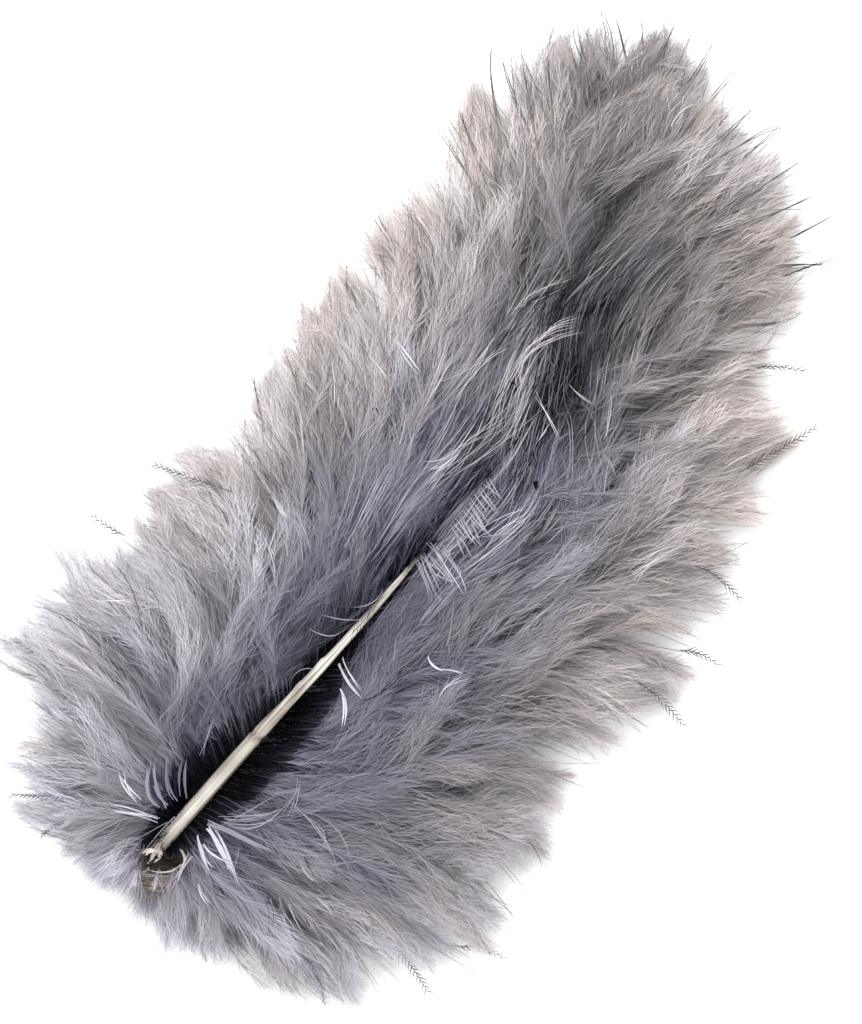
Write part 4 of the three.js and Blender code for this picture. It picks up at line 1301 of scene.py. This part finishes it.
def quill_piece(material):
    """The bare quill, hollow at its ragged cut end, and the shaft that goes on under the down."""
    rng = np.random.default_rng(7)
    turn = np.linspace(0, 2 * np.pi, QUILL_SIDES, endpoint=False)
    first, last = QUILL_Y[0], QUILL_Y[-1]
    y = np.concatenate([np.linspace(first, -6, 200), np.linspace(-5.4, last, 50)])
    radius = quill_surface(y, turn[None])
    hollow_y = np.linspace(first, first + HOLLOW_DEPTH, 5)[::-1]
    hollow = np.interp(hollow_y, [first, first + HOLLOW_DEPTH], HOLLOW_RADII)
    y, radius = np.concatenate([hollow_y, y]), np.vstack([hollow[:, None] * np.ones_like(turn), radius])
    direction = shaft_direction_at(y)
    across = unit(np.cross(direction, UP))
    above = np.cross(across, direction)
    ring = across[:, None] * np.cos(turn)[:, None] + above[:, None] * np.sin(turn)[:, None]
    points = quill_at(y)[:, None] + ring * radius[..., None]
    ragged = np.convolve(rng.normal(0, 0.5, QUILL_SIDES + 2), [0.3, 0.5, 0.3], "valid")
    points[4:7, :, 1] += ragged * np.array([1.0, 1.0, 0.5])[:, None]

    numbers = np.arange(radius.size).reshape(radius.shape)
    beside = np.roll(numbers, -1, axis=1)
    faces = np.stack([numbers[:-1], beside[:-1], beside[1:], numbers[1:]], -1).reshape(-1, 4).tolist()
    faces += [numbers[0, ::-1].tolist(), numbers[-1].tolist()]
    mesh = bpy.data.meshes.new("quill")
    mesh.from_pydata(((points.reshape(-1, 3) - CENTRE) * MM).tolist(), [], faces)
    mesh.shade_smooth()
    mesh.materials.append(material)
    return shown("quill", mesh)


def make_camera():
    distance = VIEW_HEIGHT / PIXELS_PER_MM * LENS / SENSOR
    data = bpy.data.cameras.new("camera")
    data.lens = LENS
    data.sensor_width = SENSOR
    data.clip_start = 0.01
    camera = bpy.data.objects.new("camera", data)
    camera.location = Vector((-CENTRE[0], -CENTRE[1], FOCUS_HEIGHT + distance)) * MM
    camera.rotation_euler = (0, 0, math.radians(FEATHER_TURN))
    bpy.context.scene.collection.objects.link(camera)
    bpy.context.scene.camera = camera


def area_light(name, towards, distance, size, power):
    """A soft box that lights the feather from the given direction."""
    data = bpy.data.lights.new(name, "AREA")
    data.size = size
    data.energy = power
    light = bpy.data.objects.new(name, data)
    direction = Vector(towards).normalized()
    light.location = direction * distance
    light.rotation_mode = "QUATERNION"
    light.rotation_quaternion = direction.to_track_quat("Z", "Y")
    bpy.context.scene.collection.objects.link(light)


def make_light():
    world = bpy.data.worlds.new("studio")
    world.use_nodes = True
    background = world.node_tree.nodes["Background"]
    background.inputs["Color"].default_value = (1, 1, 1, 1)
    background.inputs["Strength"].default_value = WORLD_STRENGTH
    scene = bpy.context.scene
    scene.world = world
    scene.view_settings.view_transform = "Standard"
    scene.cycles.max_bounces = 2
    scene.cycles.diffuse_bounces = 1
    scene.cycles.transmission_bounces = 2
    area_light("key", KEY_DIRECTION, distance=0.7, size=0.5, power=KEY_POWER)


def make_floor():
    material, tree = new_material("floor")
    paint = {"Base Color": (0.94, 0.94, 0.94, 1), "Roughness": 0.9}
    finished(material, add_node(tree, "BsdfPrincipled", paint))
    mesh = bpy.data.meshes.new("floor")
    corners = [(x * FLOOR_HALF, y * FLOOR_HALF, 0) for x, y in ((-1, -1), (1, -1), (1, 1), (-1, 1))]
    mesh.from_pydata(corners, [], [(0, 1, 2, 3)])
    mesh.materials.append(material)
    floor = bpy.data.objects.new("floor", mesh)
    bpy.context.scene.collection.objects.link(floor)


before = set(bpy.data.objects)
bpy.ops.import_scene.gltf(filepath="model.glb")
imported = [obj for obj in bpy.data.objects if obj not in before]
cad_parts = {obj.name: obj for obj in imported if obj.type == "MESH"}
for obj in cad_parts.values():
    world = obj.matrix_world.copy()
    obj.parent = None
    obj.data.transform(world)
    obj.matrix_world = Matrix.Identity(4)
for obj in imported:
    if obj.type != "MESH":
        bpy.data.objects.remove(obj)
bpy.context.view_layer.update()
make_camera()
make_light()
make_floor()
quill_piece(quill_material())
down = thread_material("down", COOL_TONES, WARM_TONES)
surface = Surface()
seed = 1
for level_name, level in LEVELS.items():
    for side_name, rows, side in (("left", LEFT_BARBS, 1), ("right", RIGHT_BARBS, -1)):
        seed += 1
        down_piece(f"down_{side_name}_{level_name}", level, rows, side, seed, down, surface)
down_piece("down_left_trench", TRENCH_LEVEL, LEFT_BARBS[:TRENCH_ROWS], 1, 22, down, surface)
down_piece("down_right_trench", TRENCH_LEVEL, RIGHT_BARBS[:TRENCH_ROWS], -1, 23, down, surface)
down_piece("down_tip", TIP_LEVEL, TIP_BARBS, 1, 20, down, surface)
down_piece("down_base", BASE_LEVEL, BASE_BARBS, 1, 21, down, surface)
surface.settle()
top = Surface(surface.height)
tuft_piece("down_tufts_low", -68, -30, 800, 30, down, surface, top)
tuft_piece("down_tufts_middle", -30, 8, 1000, 31, down, surface, top)
tuft_piece("down_tufts_high", 8, 70, 1000, 32, down, surface, top)
top.settle()
details_piece(down, top)
scraps_piece(thread_material("sheath", HORN_TONES, HORN_TONES), surface)
